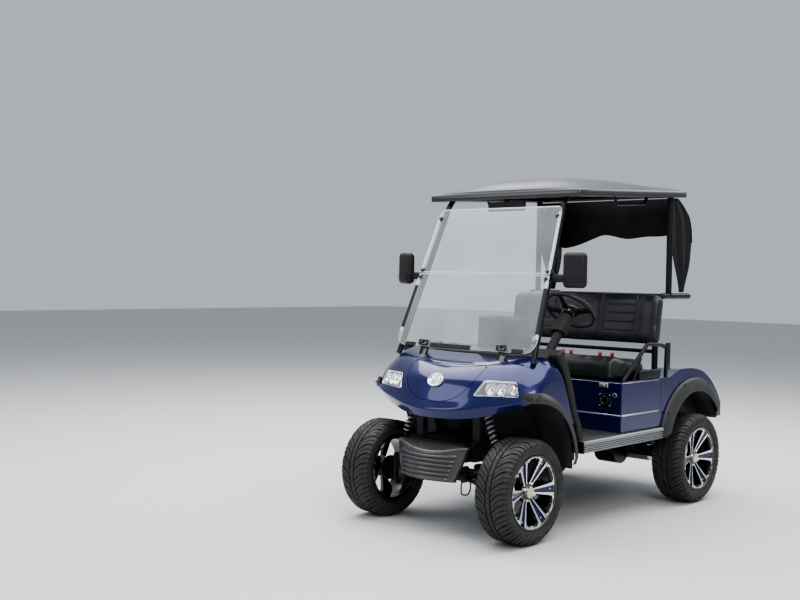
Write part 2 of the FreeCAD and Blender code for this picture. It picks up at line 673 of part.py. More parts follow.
def pedals():
    rows = [("brake", "170", "250", "300", "345"), ("throttle", "345", "400", "300", "345")]
    pads = []
    for name, left, right, near, far in rows:
        corners = [
            ("358", "rail_high + 60"), ("312", "rail_high + 170"), ("326", "rail_high + 176"),
            ("374", "rail_high + 66"), ("400", "rail_high + floor_thick"), ("384", "rail_high + floor_thick"),
        ]
        pads.append(padded_body("pedal_" + name, corners, (left, right)))
    keep("pedals", group("pedal_pair", pads))


def screen_point(share_x, z, back=0):
    """A point of the windshield's outer face; back moves it behind the face."""
    lean = math.radians(v.screen_lean)
    rise = z - v.screen_low
    share = rise / (v.screen_high - v.screen_low)
    half = v.screen_half + share * (v.screen_top_half - v.screen_half)
    station = v.screen_foot + rise * math.tan(lean)
    return (share_x * half, station + back * math.cos(lean), z - back * math.sin(lean))


def windshield():
    lean = math.radians(v.screen_lean)
    push = (0, v.screen_thick * math.cos(lean), -v.screen_thick * math.sin(lean))
    low = [(-0.86, v.screen_low), (0.86, v.screen_low), (0.96, v.screen_low + 20), (1, v.screen_low + 70),
           (1, v.screen_mid - 2), (-1, v.screen_mid - 2), (-1, v.screen_low + 70), (-0.96, v.screen_low + 20)]
    high = [(-1, v.screen_mid + 2), (1, v.screen_mid + 2), (1, v.screen_high - 30), (0.95, v.screen_high),
            (-0.95, v.screen_high), (-1, v.screen_high - 30)]
    keep("windshield_lower", feature("pane_low", prism([screen_point(*p) for p in low], push)))
    keep("windshield_upper", feature("pane_high", prism([screen_point(*p) for p in high], push)))
    gap = v.seat_gap + v.screen_thick
    joint = []
    for x0, x1 in ((-0.99, -0.90), (0.90, 0.99)):
        bar = [screen_point(x0, v.screen_mid - 22, gap), screen_point(x1, v.screen_mid - 22, gap),
               screen_point(x1, v.screen_mid + 22, gap), screen_point(x0, v.screen_mid + 22, gap)]
        joint.append(prism(bar, (0, 12 * math.cos(lean), -12 * math.sin(lean))))
    for x0, x1 in ((-0.62, -0.50), (0.50, 0.62)):
        clip = [screen_point(x0, v.screen_low - 60, gap), screen_point(x1, v.screen_low - 60, gap),
                screen_point(x1, v.screen_low + 22, gap), screen_point(x0, v.screen_low + 22, gap)]
        foot = prism(clip, (0, 26 * math.cos(lean), -26 * math.sin(lean)))
        joint.append(largest(foot.cut(skins["cowl"])))
    keep("windshield_fittings", feature("screen_clips", Part.makeCompound(joint)))


def struts():
    """Front struts behind the windshield's edges, bent forward under the roof."""
    top = v.roof_low + 12
    foot = screen_point(0.955, v.screen_low - 43, 34)
    head = screen_point(0.955, v.screen_high + 28, 34)
    left = bent_bar([foot, head, (head[0], head[1] + 40, top)], v.strut_radius)
    left = largest(left.cut([roof_tubes(), skins["cowl"]]))
    keep("front_struts", feature("struts_front", Part.makeCompound([left, mirrored(left)])))


def roof_line(station):
    """Height of the roof band's underside at a station."""
    return v.roof_low + v.roof_rise * (station - v.roof_front) / (v.roof_back - v.roof_front)


def roof_section(station, crown, inset, drop):
    """Band, crowned top and flat underside at one station."""
    half = v.roof_half - inset
    low = roof_line(station) - (40 if drop else 0)
    edge = roof_line(station) + v.fascia - inset
    peak = edge + crown
    lines = [Part.LineSegment(Vector(-half, station, edge), Vector(-half, station, low)),
             Part.LineSegment(Vector(-half, station, low), Vector(half, station, low)),
             Part.LineSegment(Vector(half, station, low), Vector(half, station, edge)),
             Part.Arc(Vector(half, station, edge), Vector(0, station, peak), Vector(-half, station, edge))]
    return Part.Wire([line.toShape() for line in lines])


def roof():
    crowns = [
        # share of the length, share of the crown
        (0.0, 0.08), (0.10, 0.55), (0.30, 0.92), (0.60, 1.0), (0.86, 0.80), (0.955, 0.62),
        (0.97, 0.12), (1.0, 0.08),
    ]
    run = v.roof_back - v.roof_front
    outer = Part.makeLoft([roof_section(v.roof_front + s * run, c * v.dome, 0, False) for s, c in crowns],
                          True, True)
    skin = v.roof_skin
    inner_run = run - 2 * skin
    inner = Part.makeLoft([roof_section(v.roof_front + skin + s * inner_run, c * v.dome, skin, True)
                           for s, c in crowns[:6]], True, True)
    keep("roof", feature("roof_shell", outer.cut(inner)))


def roof_tubes():
    """Two rails and two cross tubes inside the roof's band."""
    inset = v.roof_skin
    side = v.screen_top_half - 10
    tubes = []
    stations = (v.roof_front + 60, v.roof_back - 110)
    heights = [roof_line(station) + 14 for station in stations]
    for x in (-side, side):
        tubes.append(rod((x, stations[0] - 20, heights[0]), (x, stations[1], heights[1]), 13))
    for station, height in zip(stations, heights):
        half = v.roof_half - inset
        tubes.append(rod((-half, station, height), (half, station, height), 13))
    return tubes[0].multiFuse(tubes[1:])


def roof_frame():
    keep("roof_frame", feature("frame_under_roof", roof_tubes()))


def rear_structure():
    """Struts, seat-back posts and the bag rack's arms."""
    x, high = v.rear_strut_side, v.rack_height
    station = v.strut_station
    top = roof_line(station) + 1
    strut = rod((x, station, high), (x, station, top), v.tube_radius)
    behind = v.backrest_front + v.backrest_thick + 36 + v.tube_radius - 2
    post = bent_bar([(x - 20, behind, v.pod_top), (x - 20, behind, high - 30), (x, behind + 40, high),
                     (x, station + v.rack_reach, high)], v.tube_radius)
    left = strut.fuse(post)
    keep("rear_struts", feature("struts_rear", Part.makeCompound([left, mirrored(left)])))
    clear = x - v.tube_radius
    end = station + v.rack_reach - 20
    bar = rod((-clear, end, high), (clear, end, high), 12)
    low = v.backrest_low - 50
    cross = rod((20 - clear, behind, low), (clear - 20, behind, low), 12)
    keep("bag_rack", feature("rack_bars", Part.makeCompound([bar, cross])))


def seats():
    cushion_x = ("-cushion_half", "cushion_half")
    low = "pod_top + seat_gap"
    rows = [
        # station, share of the thickness
        ("cushion_front", 0), ("cushion_front - 6", 0.55), ("cushion_front + 16", 0.9),
        ("cushion_front + 60", 1), ("cushion_back - 40", 0.86), ("cushion_back", 0.7), ("cushion_back", 0),
    ]
    corners = [(station, f"{low} + cushion_thick * {share}") for station, share in rows]
    keep("seat_cushion", padded_body("cushion", corners, cushion_x))
    back = [
        ("backrest_front", "backrest_low + 20"), ("backrest_front + 20", "backrest_low"),
        (f"backrest_front + backrest_thick", "backrest_low"),
        (f"backrest_front + backrest_thick + 36", "backrest_high - 20"),
        (f"backrest_front + backrest_thick + 20", "backrest_high"),
        ("backrest_front + 56", "backrest_high"), ("backrest_front + 40", "backrest_high - 25"),
    ]
    keep("seat_back", padded_body("backrest", back, ("-backrest_half", "backrest_half")))


def armrests():
    x = v.backrest_half + 13
    deck, front = v.pod_top, v.pod_front
    bends = [
        # station behind the pod's front, height over the deck
        (26, 0), (305, 210), (470, 200), (536, 182), (528, -20),
    ]
    bar = bent_bar([(x, front + along, deck + up) for along, up in bends], 12)
    foot = rod((x, front + 146, deck - 10), (x, front + 232, deck + 132), 7)
    under = Part.makeBox(60, 700, 80, Vector(x - 30, front - 60, deck - 80))
    left = bar.fuse(foot).cut(under)
    keep("armrests", feature("armrest_bars", Part.makeCompound([left, mirrored(left)])))


def seat_belts():
    station = v.pod_back + 10
    stalks = [Part.makeBox(24, 14, 120, Vector(x, station, v.pod_top)) for x in (-172, -110, 110, 200)]
    keep("seat_belts", feature("buckles", Part.makeCompound(stalks)))


def bag_cover():
    """Canvas round the bag rack: sides that taper to the arms, and a short rear valance."""
    back, arms = v.roof_back, v.rack_height
    x = v.rear_strut_side + v.tube_radius + 2
    lip = roof_line(back - 50) - v.seat_gap
    bulge = lip - 155
    outer = [
        (back - 40, lip - 3), (back + 150, bulge), (back + 160, arms + 295), (back + 75, arms + 45),
        (back - 80, arms + 45), (back - 95, arms + 395), (back - 95, lip - 7),
    ]
    top = [
        (back - 50, lip), (back - 34, lip), (back + 154, bulge + 2), (back + 162, bulge - 80),
        (back + 158, bulge - 80), (back + 148, bulge), (back - 38, lip - 8), (back - 50, lip - 8),
    ]
    side = prism([(x, y, z) for y, z in outer], (4, 0, 0))
    sheet_top = prism([(-x, y, z) for y, z in top], (2 * x, 0, 0))
    keep("bag_cover", feature("canvas", sheet_top.multiFuse([side, mirrored(side)])))


def small_pieces():
    """Handles, mirrors and tail lamps."""
    start, end = v.pod_front + 40, v.pod_front + 420
    z0, z1 = roof_line(start) + 14, roof_line(end) + 14
    rail = v.screen_top_half - 10 + 13
    x = rail + 25
    left = bent_bar([(rail, start, z0), (x, start, z0), (x, start + 30, z0 - 56), (x, end - 30, z1 - 56),
                     (x, end, z1), (rail, end, z1)], 9)
    keep("roof_handles", feature("handles", Part.makeCompound([left, mirrored(left)])))
    tube_foot = "roof_low + 0.9 + 60 * roof_rise / (roof_back - roof_front)"
    mirror = box("inside_mirror", ("-130", "130"), ("roof_front + 48", "roof_front + 70"),
                 ("screen_high - 16", "screen_high + 38"))
    stem = box("inside_mirror_stem", ("-14", "14"), ("roof_front + 53", "roof_front + 67"),
               ("screen_high + 38", tube_foot))
    keep("interior_mirror", fused("cabin_mirror", [mirror, stem]))
    wide, tall = v.mirror_wide, v.mirror_tall
    housing = Part.makeBox(wide, 56, tall, Vector(-wide / 2, -28, -tall / 2))
    housing = housing.makeFillet(20, [e for e in housing.Edges if e.Length > 50])
    strut = screen_point(0.955, v.screen_mid - 10, 34)
    middle = Vector(v.mirror_side, strut[1] + 6, v.screen_mid + 28)
    housing.Placement = FreeCAD.Placement(middle, FreeCAD.Rotation(Vector(0, 0, 1), 20))
    inner_end = (strut[0] + 16, strut[1] + 5, v.screen_mid - 10)
    arm = rod(inner_end, (v.mirror_side - 22, strut[1] + 4, v.screen_mid - 2), 12)
    left = housing.fuse(arm)
    keep("side_mirrors", feature("outer_mirrors", Part.makeCompound([left, mirrored(left)])))
    lamp = box("tail_left", ("436", "530"), ("rear_reach - 60", "rear_reach - 44"), ("530", "590"))
    keep("tail_lamps", pair("tails", lamp))


def knuckles():
    """Kingpin boss, stub axle and a steering arm reaching back to the tie rod."""
    for side, tag in ((1, "left"), (-1, "right")):
        pin_x = f"{side} * kingpin_side"
        boss = cylinder(f"boss_{tag}", "22", "kingpin_high - kingpin_low - 2 * seat_gap", pin_x, "0",
                        "kingpin_low + seat_gap")
        start = "kingpin_side" if side > 0 else "-front_track - 62"
        stub = cylinder(f"stub_{tag}", "spindle_radius", "front_track + 62 - kingpin_side", start, "0",
                        "tyre_radius", "x")
        plate_start = "kingpin_side + 34" if side > 0 else "-kingpin_side - 46"
        plate = cylinder(f"plate_{tag}", "70", "12", plate_start, "0", "tyre_radius", "x")
        arm_x = ("kingpin_side - 14", "kingpin_side + 10")
        if side < 0:
            arm_x = ("-kingpin_side - 10", "14 - kingpin_side")
        arm = box(f"arm_{tag}", arm_x, ("0", "arm_length"), ("tyre_radius + 6", "tyre_radius + 20"))
        eye_x = f"{side} * (kingpin_side - 2)"
        eye = cylinder(f"eye_{tag}", "15", "14", eye_x, "arm_length", "tyre_radius + 6")
        thick_start = "kingpin_side" if side > 0 else "-kingpin_side - 46"
        thick = cylinder(f"carrier_{tag}", "30", "46", thick_start, "0", "tyre_radius", "x")
        keep(f"knuckle_{tag}", fused(f"upright_{tag}", [boss, stub, plate, arm, eye, thick]))
    bar = cylinder("rod_bar", "rod_radius", "2 * (kingpin_side - 2)", "2 - kingpin_side", "arm_length - 6",
                   "tyre_radius - 4 - seat_gap", "x")
    eyes = [cylinder(f"rod_eye_{tag}", "14", "10", f"{side} * (kingpin_side - 2)", "arm_length - 6",
                     "tyre_radius - 4 - seat_gap") for side, tag in ((1, "left"), (-1, "right"))]
    keep("tie_rod", fused("steering_rod", [bar] + eyes))


def lathe(name, corners):
    """A body turned about the wheel's own axis; corners are (across, radius) expressions."""
    body = doc.addObject("PartDesign::Body", name)
    turned = body.newObject("PartDesign::Revolution", name + "_turned")
    profile = outline(body, name + "_profile", "XZ_Plane", corners)
    turned.Profile = profile
    turned.ReferenceAxis = (profile, ["H_Axis"])
    turned.Angle = 360
    return body


def wheels():
    """Tyre and rim at each corner; the right side's are turned half round."""
    rows = [
        # tag, station, track, side
        ("front_left", "0", "front_track", 1), ("front_right", "0", "front_track", -1),
        ("rear_left", "wheelbase", "rear_track", 1), ("rear_right", "wheelbase", "rear_track", -1),
    ]
    half, top, rim, bead = "tyre_width / 2", "tyre_radius", "rim_width / 2", "bead_radius"
    tyre = [
        (f"-{rim} + 12", f"{bead} + 1"), (f"-{rim}", "rim_radius - 4"), (f"-{half}", "rim_radius + 22"),
        (f"-{half}", f"{top} - 32"), (f"12 - {half}", f"{top} - 10"), (f"34 - {half}", top),
        (f"{half} - 34", top), (f"{half} - 12", f"{top} - 10"), (half, f"{top} - 32"),
        (half, "rim_radius + 22"), (rim, "rim_radius - 4"), (f"{rim} - 12", f"{bead} + 1"),
    ]
    wall = "rim_wall"
    face = f"{rim} - disc_inset"
    barrel = [
        (f"-{rim}", "rim_radius - 6"), (f"-{rim}", "rim_radius - 18"), (f"14 - {rim}", f"{bead} - {wall}"),
        (f"{face} - disc_thick", f"{bead} - {wall}"),
        (f"{face} - disc_thick", "spindle_radius + spindle_play"),
        (face, "spindle_radius + spindle_play"), (face, "hub_radius"), (f"{rim} - 16", f"{bead} - {wall}"),
        (rim, "rim_radius - 18"), (rim, "rim_radius - 6"), (f"{rim} - 12", f"{bead}"),
        (f"12 - {rim}", f"{bead}"),
    ]
    for tag, station, track, side in rows:
        turn = FreeCAD.Rotation(Vector(0, 0, 1), 0 if side > 0 else 180)
        for kind, corners in (("tyre", tyre), ("rim", barrel)):
            body = lathe(f"{kind}_body_{tag}", corners)
            if kind == "rim":
                spoke_windows(body, tag)
            body.Placement.Rotation = turn
            place(body, f"{side} * {track}", station, "tyre_radius")
            keep(f"{kind}_{tag}", body)


def spoke_windows(body, tag):
    """Openings between the pairs of spokes, repeated round the hub."""
    doc.recompute()
    count = int(v.spokes)
    wide = math.radians(360 / count)
    inner, outer = v.hub_radius + 8, v.bead_radius - v.rim_wall - 6
    corners = []
    for radius, share in ((inner, 0.16), (outer, 0.30), (outer, -0.30), (inner, -0.16)):
        angle = wide * share
        corners.append((f"{radius * math.sin(angle)}", f"{radius * math.cos(angle)}"))
    sketch = outline(body, f"window_{tag}", "YZ_Plane", corners)
    pocket = body.newObject("PartDesign::Pocket", f"window_cut_{tag}")
    pocket.Profile = sketch
    pocket.SideType = "Symmetric"
    pocket.setExpression("Length", bound("2 * rim_width"))
    pattern = body.newObject("PartDesign::PolarPattern", f"windows_{tag}")
    pattern.Originals = [pocket]
    pattern.Axis = (sketch, ["N_Axis"])
    pattern.Angle = 360
    pattern.Occurrences = count
    body.Tip = pattern


for build in (frame_rails, floor_board, side_steps, front_body, cowl_trims, dashboard, seat_pod, rear_body,
              flares, front_bumper, front_axle, front_shocks, rear_axle, rear_springs, battery_pack, steering,
              pedals, windshield, struts, roof, roof_frame, rear_structure, seats, armrests, seat_belts,
              bag_cover, small_pieces, knuckles, wheels):
    build()
doc.recompute()

failed = [item.Label for item in doc.Objects if {"Invalid", "Error"} & set(item.State)]
for node, item in nodes.items():
    if item.Shape.isNull() or not item.Shape.isValid():
        failed.append(node)
if failed:
    raise ValueError("not built: " + ", ".join(sorted(set(failed))))
for node, item in nodes.items():
    item.Shape.exportStep(f"parts/{node}.step")
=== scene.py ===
"""Looks of a lifted two-seat electric golf cart, built around its construction model."""

import math

import bmesh
import bpy
from mathutils import Matrix, Vector, noise


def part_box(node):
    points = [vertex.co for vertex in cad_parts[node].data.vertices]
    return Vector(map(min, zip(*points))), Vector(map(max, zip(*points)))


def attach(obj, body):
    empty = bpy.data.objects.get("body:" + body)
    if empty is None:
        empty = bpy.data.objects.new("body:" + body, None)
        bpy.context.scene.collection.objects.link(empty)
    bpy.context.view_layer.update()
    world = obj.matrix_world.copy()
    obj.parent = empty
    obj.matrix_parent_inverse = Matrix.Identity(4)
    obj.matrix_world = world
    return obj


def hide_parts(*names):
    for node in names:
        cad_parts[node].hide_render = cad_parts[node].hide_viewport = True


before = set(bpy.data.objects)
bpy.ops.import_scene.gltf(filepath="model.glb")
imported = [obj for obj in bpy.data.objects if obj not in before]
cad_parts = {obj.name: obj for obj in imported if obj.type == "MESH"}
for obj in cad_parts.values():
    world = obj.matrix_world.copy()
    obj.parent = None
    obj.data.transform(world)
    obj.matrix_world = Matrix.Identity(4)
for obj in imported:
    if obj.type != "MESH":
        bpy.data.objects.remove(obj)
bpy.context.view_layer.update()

# Places are in metres; stations count rearward from the front axle
tyre_low, tyre_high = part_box("tyre_front_left")
rear_low, rear_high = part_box("tyre_rear_left")
AXLE = (tyre_low.y + tyre_high.y) / 2
TYRE_RADIUS = (tyre_high.z - tyre_low.z) / 2 - 0.0001
TYRE_HALF = (tyre_high.x - tyre_low.x) / 2
WHEELBASE = (rear_low.y + rear_high.y) / 2 - AXLE
X_AXIS, Y_AXIS, Z_AXIS = Vector((1, 0, 0)), Vector((0, 1, 0)), Vector((0, 0, 1))
NO_TURN = Matrix.Identity(3)
MERGE = 0.00001  # points nearer than this are one
POLE = 0.0001  # radius at which a turned profile closes


def at(x, station, z):
    return Vector((x, AXLE + station, z))


def around(angle):
    """The way out from an axle, at an angle in degrees back from the top."""
    turn = math.radians(angle)
    return Vector((0, math.sin(turn), math.cos(turn)))


def ease(low, high, value):
    """0 below low and 1 above high, with a soft passage between."""
    share = min(max((value - low) / (high - low), 0.0), 1.0)
    return share * share * (3 - 2 * share)


def bell(distance, width):
    """1 at no distance, falling away over a width."""
    return math.exp(-(distance / width) ** 2)


def shares(count):
    """Even steps from 0 to 1."""
    return [k / count for k in range(count + 1)]


# Finishes
EVEN = (1, 1, 1)


def drive(tree, output, socket):
    tree.links.new(output, tree.nodes["Principled BSDF"].inputs[socket])


def pattern(tree, kind, stretch=EVEN, **settings):
    """The value of a texture laid on a piece's own coordinates."""
    made = tree.nodes.new("ShaderNodeTex" + kind)
    for key, value in settings.items():
        if key in made.inputs:
            made.inputs[key].default_value = value
        else:
            setattr(made, key, value)
    source, mapping = tree.nodes.new("ShaderNodeTexCoord"), tree.nodes.new("ShaderNodeMapping")
    mapping.inputs["Scale"].default_value = stretch
    tree.links.new(source.outputs["Object"], mapping.inputs["Vector"])
    tree.links.new(mapping.outputs["Vector"], made.inputs["Vector"])
    return made.outputs["Distance" if kind == "Voronoi" else "Fac"]


def vary_colour(tree, dark, light, scale, detail=4.0, stretch=EVEN):
    """Blends two colours by soft noise over the piece."""
    ramp = tree.nodes.new("ShaderNodeValToRGB")
    for stop, position, colour in zip(ramp.color_ramp.elements, (0.35, 0.65), (dark, light)):
        stop.position, stop.color = position, (*colour, 1)
    tree.links.new(pattern(tree, "Noise", stretch, Scale=scale, Detail=detail), ramp.inputs["Fac"])
    drive(tree, ramp.outputs["Color"], "Base Color")


def vary_value(tree, socket, low, high, scale, stretch=EVEN, detail=5.0, span=(0.3, 0.7)):
    """Lets noise carry a socket between two values."""
    spread = tree.nodes.new("ShaderNodeMapRange")
    for key, value in zip(("From Min", "From Max", "To Min", "To Max"), (*span, low, high)):
        spread.inputs[key].default_value = value
    tree.links.new(pattern(tree, "Noise", stretch, Scale=scale, Detail=detail), spread.inputs["Value"])
    drive(tree, spread.outputs["Result"], socket)


def emboss(tree, value, strength, distance):
    """Raises the surface by a pattern's value."""
    bump = tree.nodes.new("ShaderNodeBump")
    bump.inputs["Strength"].default_value, bump.inputs["Distance"].default_value = strength, distance
    tree.links.new(value, bump.inputs["Height"])
    drive(tree, bump.outputs["Normal"], "Normal")


def finish(name, colour, roughness, metallic=0.0, cloud=None, gloss=None, grain=None, **sockets):
    """A material.

    cloud holds a dark and a light colour and the noise's scale, gloss the lowest and highest
    roughness and the noise's scale, grain the scale, strength and depth of its pebbles.
    """
    made = bpy.data.materials.new(name)
    made.use_nodes = True
    tree = made.node_tree
    values = {"Base Color": (*colour, 1), "Roughness": roughness, "Metallic": metallic, **sockets}
    for socket, value in values.items():
        tree.nodes["Principled BSDF"].inputs[socket.replace("_", " ")].default_value = value
    made.diffuse_color = (*colour, 1)
    if cloud:
        vary_colour(tree, *cloud)
    if gloss:
        vary_value(tree, "Roughness", *gloss)
    if grain:
        scale, strength, depth = grain
        emboss(tree, pattern(tree, "Voronoi", Scale=scale, feature="SMOOTH_F1"), strength, depth)
    return made


def textured_black(name, shade, roughness, specular=0.32, grain=0.14):
    return finish(name, (shade, shade, shade * 1.05), roughness,
                  cloud=((shade * 0.85,) * 3, (shade * 1.15, shade * 1.15, shade * 1.2), 7),
                  gloss=(roughness - 0.05, roughness + 0.05, 11), grain=(700, grain, 0.0003),
                  Specular_IOR_Level=specular)


def bright_metal(name, colour, roughness):
    return finish(name, colour, roughness, 1.0, gloss=(roughness * 0.7, roughness * 1.6, 40))


def coloured_lens(name, colour):
    return finish(name, colour, 0.15, grain=(160, 0.4, 0.001), Coat_Weight=1.0, Coat_Roughness=0.05)


def canvas():
    """Woven cloth: threads across and down."""
    made = finish("canvas", (0.006, 0.006, 0.007), 0.55,
                  cloud=((0.004, 0.004, 0.005), (0.008, 0.008, 0.009), 6), Specular_IOR_Level=0.3)
    tree = made.node_tree
    weave = tree.nodes.new("ShaderNodeMath")
    weave.operation = "MULTIPLY"
    for socket, way in enumerate("XZ"):
        tree.links.new(pattern(tree, "Wave", Scale=260.0, bands_direction=way), weave.inputs[socket])
    emboss(tree, weave.outputs["Value"], 0.25, 0.0004)
    return made


def machined_alloy():
    """Bare alloy with fine lines of the cutting tool."""
    made = finish("machined_alloy", (0.82, 0.82, 0.84), 0.24, 1.0, gloss=(0.16, 0.34, 60))
    lines = pattern(made.node_tree, "Noise", (0.2, 1, 1), Scale=420.0, Detail=2.0)
    emboss(made.node_tree, lines, 0.08, 0.0002)
    return made


def clear_acrylic():
    """Clear sheet with a little haze."""
    made = finish("clear_acrylic", (0.82, 0.85, 0.87), 0.03, gloss=(0.02, 0.09, 22), Alpha=0.2, IOR=1.49,
                  Coat_Weight=0.3)
    vary_value(made.node_tree, "Alpha", 0.05, 0.17, 3.0, detail=3.0, span=(0, 1))
    return made


def floor_mat():
    """Ribbed rubber."""
    made = finish("floor_mat", (0.02, 0.02, 0.021), 0.7,
                  cloud=((0.014, 0.014, 0.014), (0.028, 0.027, 0.026), 12))
    emboss(made.node_tree, pattern(made.node_tree, "Wave", Scale=22.0, bands_direction="X"), 0.6, 0.002)
    return made


BLUE = finish("blue_metallic", (0.005, 0.008, 0.075), 0.26, 0.45,
              cloud=((0.0042, 0.0065, 0.062), (0.0062, 0.0105, 0.090), 2600, 1.0),
              Coat_Weight=1.0, Coat_Roughness=0.02, Coat_IOR=1.4, Specular_IOR_Level=0.3)
PLASTIC = textured_black("textured_black", 0.014, 0.52)
BUMPER_PLASTIC = textured_black("bumper_plastic", 0.032, 0.30, 0.8, 0.02)
FLARE_PLASTIC = textured_black("flare_plastic", 0.040, 0.44)
ROOF_PLASTIC = finish("roof_plastic", (0.022, 0.022, 0.024), 0.3,
                      cloud=((0.020, 0.020, 0.022), (0.025, 0.025, 0.027), 3), gloss=(0.27, 0.33, 2.5),
                      Coat_Weight=0.25, Coat_Roughness=0.12)
DASH_PLASTIC = textured_black("dash_plastic", 0.022, 0.5)
COAT = finish("powder_coat", (0.006, 0.006, 0.007), 0.36, gloss=(0.3, 0.46, 14),
              grain=(1100, 0.12, 0.0002), Specular_IOR_Level=0.3)
VINYL = finish("seat_vinyl", (0.018, 0.018, 0.020), 0.38,
               cloud=((0.015, 0.015, 0.017), (0.021, 0.021, 0.024), 9), gloss=(0.34, 0.42, 16),
               grain=(520, 0.2, 0.0004), Specular_IOR_Level=0.42)
CANVAS = canvas()
TYRE = finish("tyre_rubber", (0.016, 0.016, 0.016), 0.58,
              cloud=((0.012, 0.012, 0.012), (0.024, 0.024, 0.023), 18), gloss=(0.5, 0.74, 25),
              grain=(900, 0.2, 0.0003))
ALLOY = machined_alloy()
GLOSS_BLACK = finish("gloss_black", (0.004, 0.004, 0.005), 0.14, gloss=(0.08, 0.2, 30),
                     Coat_Weight=0.5, Coat_Roughness=0.05)
CHROME = bright_metal("chrome", (0.86, 0.87, 0.89), 0.06)
CAP_GOLD = bright_metal("cap_gold", (0.66, 0.61, 0.48), 0.20)
STEEL = bright_metal("zinc_steel", (0.42, 0.42, 0.44), 0.3)
BRIGHT_TRIM = bright_metal("bright_trim", (0.72, 0.75, 0.80), 0.34)
ACRYLIC = clear_acrylic()
ACRYLIC_EDGE = finish("acrylic_edge", (0.70, 0.76, 0.78), 0.15, gloss=(0.1, 0.25, 40), Alpha=0.72,
                      Coat_Weight=0.5)
LENS = finish("clear_lens", (0.9, 0.93, 0.95), 0.03, gloss=(0.02, 0.06, 30), Alpha=0.12, IOR=1.5)
STEP_ALLOY = finish("step_alloy", (0.30, 0.31, 0.32), 0.34, 0.9,
                    cloud=((0.28, 0.29, 0.30), (0.33, 0.34, 0.35), 24, 4.0, (1, 0.1, 1)),
                    gloss=(0.3, 0.44, 60, (1, 0.05, 1)))
MAT = floor_mat()
RED_LENS = coloured_lens("red_lens", (0.35, 0.008, 0.008))
BELT_RED = coloured_lens("belt_red", (0.42, 0.01, 0.012))
SCREEN = finish("display_glass", (0.004, 0.005, 0.006), 0.08, gloss=(0.05, 0.12, 20), Coat_Weight=1.0)
RUBBER_TRIM = textured_black("rubber_trim", 0.016, 0.62)


# Making shapes

def of_kind(grown, kind):
    return [part for part in grown["geom"] if isinstance(part, kind)]


def block(bm, low, high, bevel=0.003, segments=2, turn=NO_TURN):
    """A box between two corners with rounded edges, turned about its middle."""
    low, high = Vector(low), Vector(high)
    made = bmesh.ops.create_cube(bm, size=1)["verts"]
    size = high - low
    bmesh.ops.scale(bm, vec=size, verts=made)
    edges = list({edge for vert in made for edge in vert.link_edges})
    rounded = bmesh.ops.bevel(bm, geom=edges, offset=min(bevel, min(size) * 0.45), segments=segments,
                              profile=0.5, affect="EDGES", material=-1)["verts"]
    made = list({vert for corner in rounded for face in corner.link_faces for vert in face.verts})
    place(bm, made, (low + high) / 2, turn)
    return made


def place(bm, verts, spot, turn=NO_TURN):
    bmesh.ops.rotate(bm, cent=(0, 0, 0), matrix=turn, verts=verts)
    bmesh.ops.translate(bm, vec=spot, verts=verts)


def rounded_path(points, radius, steps=6):
    """The points of a bent bar: straight runs joined by bends that start within a radius."""
    path = [points[0]]
    for before, corner, after in zip(points, points[1:], points[2:]):
        arm_in, arm_out = before - corner, after - corner
        reach = min(radius, arm_in.length * 0.45, arm_out.length * 0.45)
        start, end = corner + arm_in.normalized() * reach, corner + arm_out.normalized() * reach
        path += [start.lerp(corner, share).lerp(corner.lerp(end, share), share)
                 for share in shares(steps)]
    return path + [points[-1]]


def tube(bm, path, radius, segments=14):
    """A round bar along a path, made by extruding a ring from point to point."""
    ways = [(after - before).normalized()
            for before, after in zip([path[0], *path], [*path[1:], path[-1]])]
    ring = bmesh.ops.create_circle(bm, segments=segments, radius=radius, cap_ends=False)["verts"]
    place(bm, ring, path[0], ways[0].to_track_quat("Z", "Y").to_matrix())
    first = list(ring)
    edges = list({edge for vert in ring for edge in vert.link_edges})
    for i in range(1, len(path)):
        grown = bmesh.ops.extrude_edge_only(bm, edges=edges)
        ring = of_kind(grown, bmesh.types.BMVert)
        edges = [e for e in of_kind(grown, bmesh.types.BMEdge) if all(v in ring for v in e.verts)]
        swing = ways[i - 1].rotation_difference(ways[i]).to_matrix()
        bmesh.ops.rotate(bm, cent=path[i - 1], matrix=swing, verts=ring)
        centre = sum((vert.co for vert in ring), Vector()) / len(ring)
        bmesh.ops.translate(bm, vec=path[i] - centre, verts=ring)
    for end in (first, ring):
        bmesh.ops.contextual_create(bm, geom=end)


def lathe(bm, profile, centre, axis, segments):
    """A profile of (along the axis, radius) turned about an axis through centre."""
    upright = Z_AXIS if abs(axis.z) < 0.9 else X_AXIS
    out = (upright - axis * upright.dot(axis)).normalized()
    verts = [bm.verts.new(centre + axis * along + out * radius) for along, radius in profile]
    edges = [bm.edges.new(pair) for pair in zip(verts, verts[1:])]
    bmesh.ops.spin(bm, geom=verts + edges, cent=centre, axis=axis, angle=math.radians(360),
                   steps=segments, use_merge=True, use_duplicate=False)
    bmesh.ops.remove_doubles(bm, verts=bm.verts[:], dist=MERGE)


def skin(bm, sections, closed=False):
    """Surfaces between neighbouring lines of points, each line extruded from the one before."""
    rows = [[bm.verts.new(p) for p in sections[0]]]
    first = rows[0]
    pairs = list(zip(first, first[1:])) + ([(first[-1], first[0])] if closed else [])
    edges = [bm.edges.new(pair) for pair in pairs]
    for line in sections[1:]:
        grown = bmesh.ops.extrude_edge_only(bm, edges=edges)
        fresh = set(of_kind(grown, bmesh.types.BMVert))
        matched = [next(e.other_vert(old) for e in old.link_edges if e.other_vert(old) in fresh)
                   for old in rows[-1]]
        for vert, point in zip(matched, line):
            vert.co = point
        edges = [e for e in of_kind(grown, bmesh.types.BMEdge) if all(v in fresh for v in e.verts)]
        rows.append(matched)
    return rows


def solid_skin(bm, sections):
    """A closed skin with its first and last line filled."""
    rows = skin(bm, sections, closed=True)
    for line in (rows[0], rows[-1]):
        bmesh.ops.contextual_create(bm, geom=line)


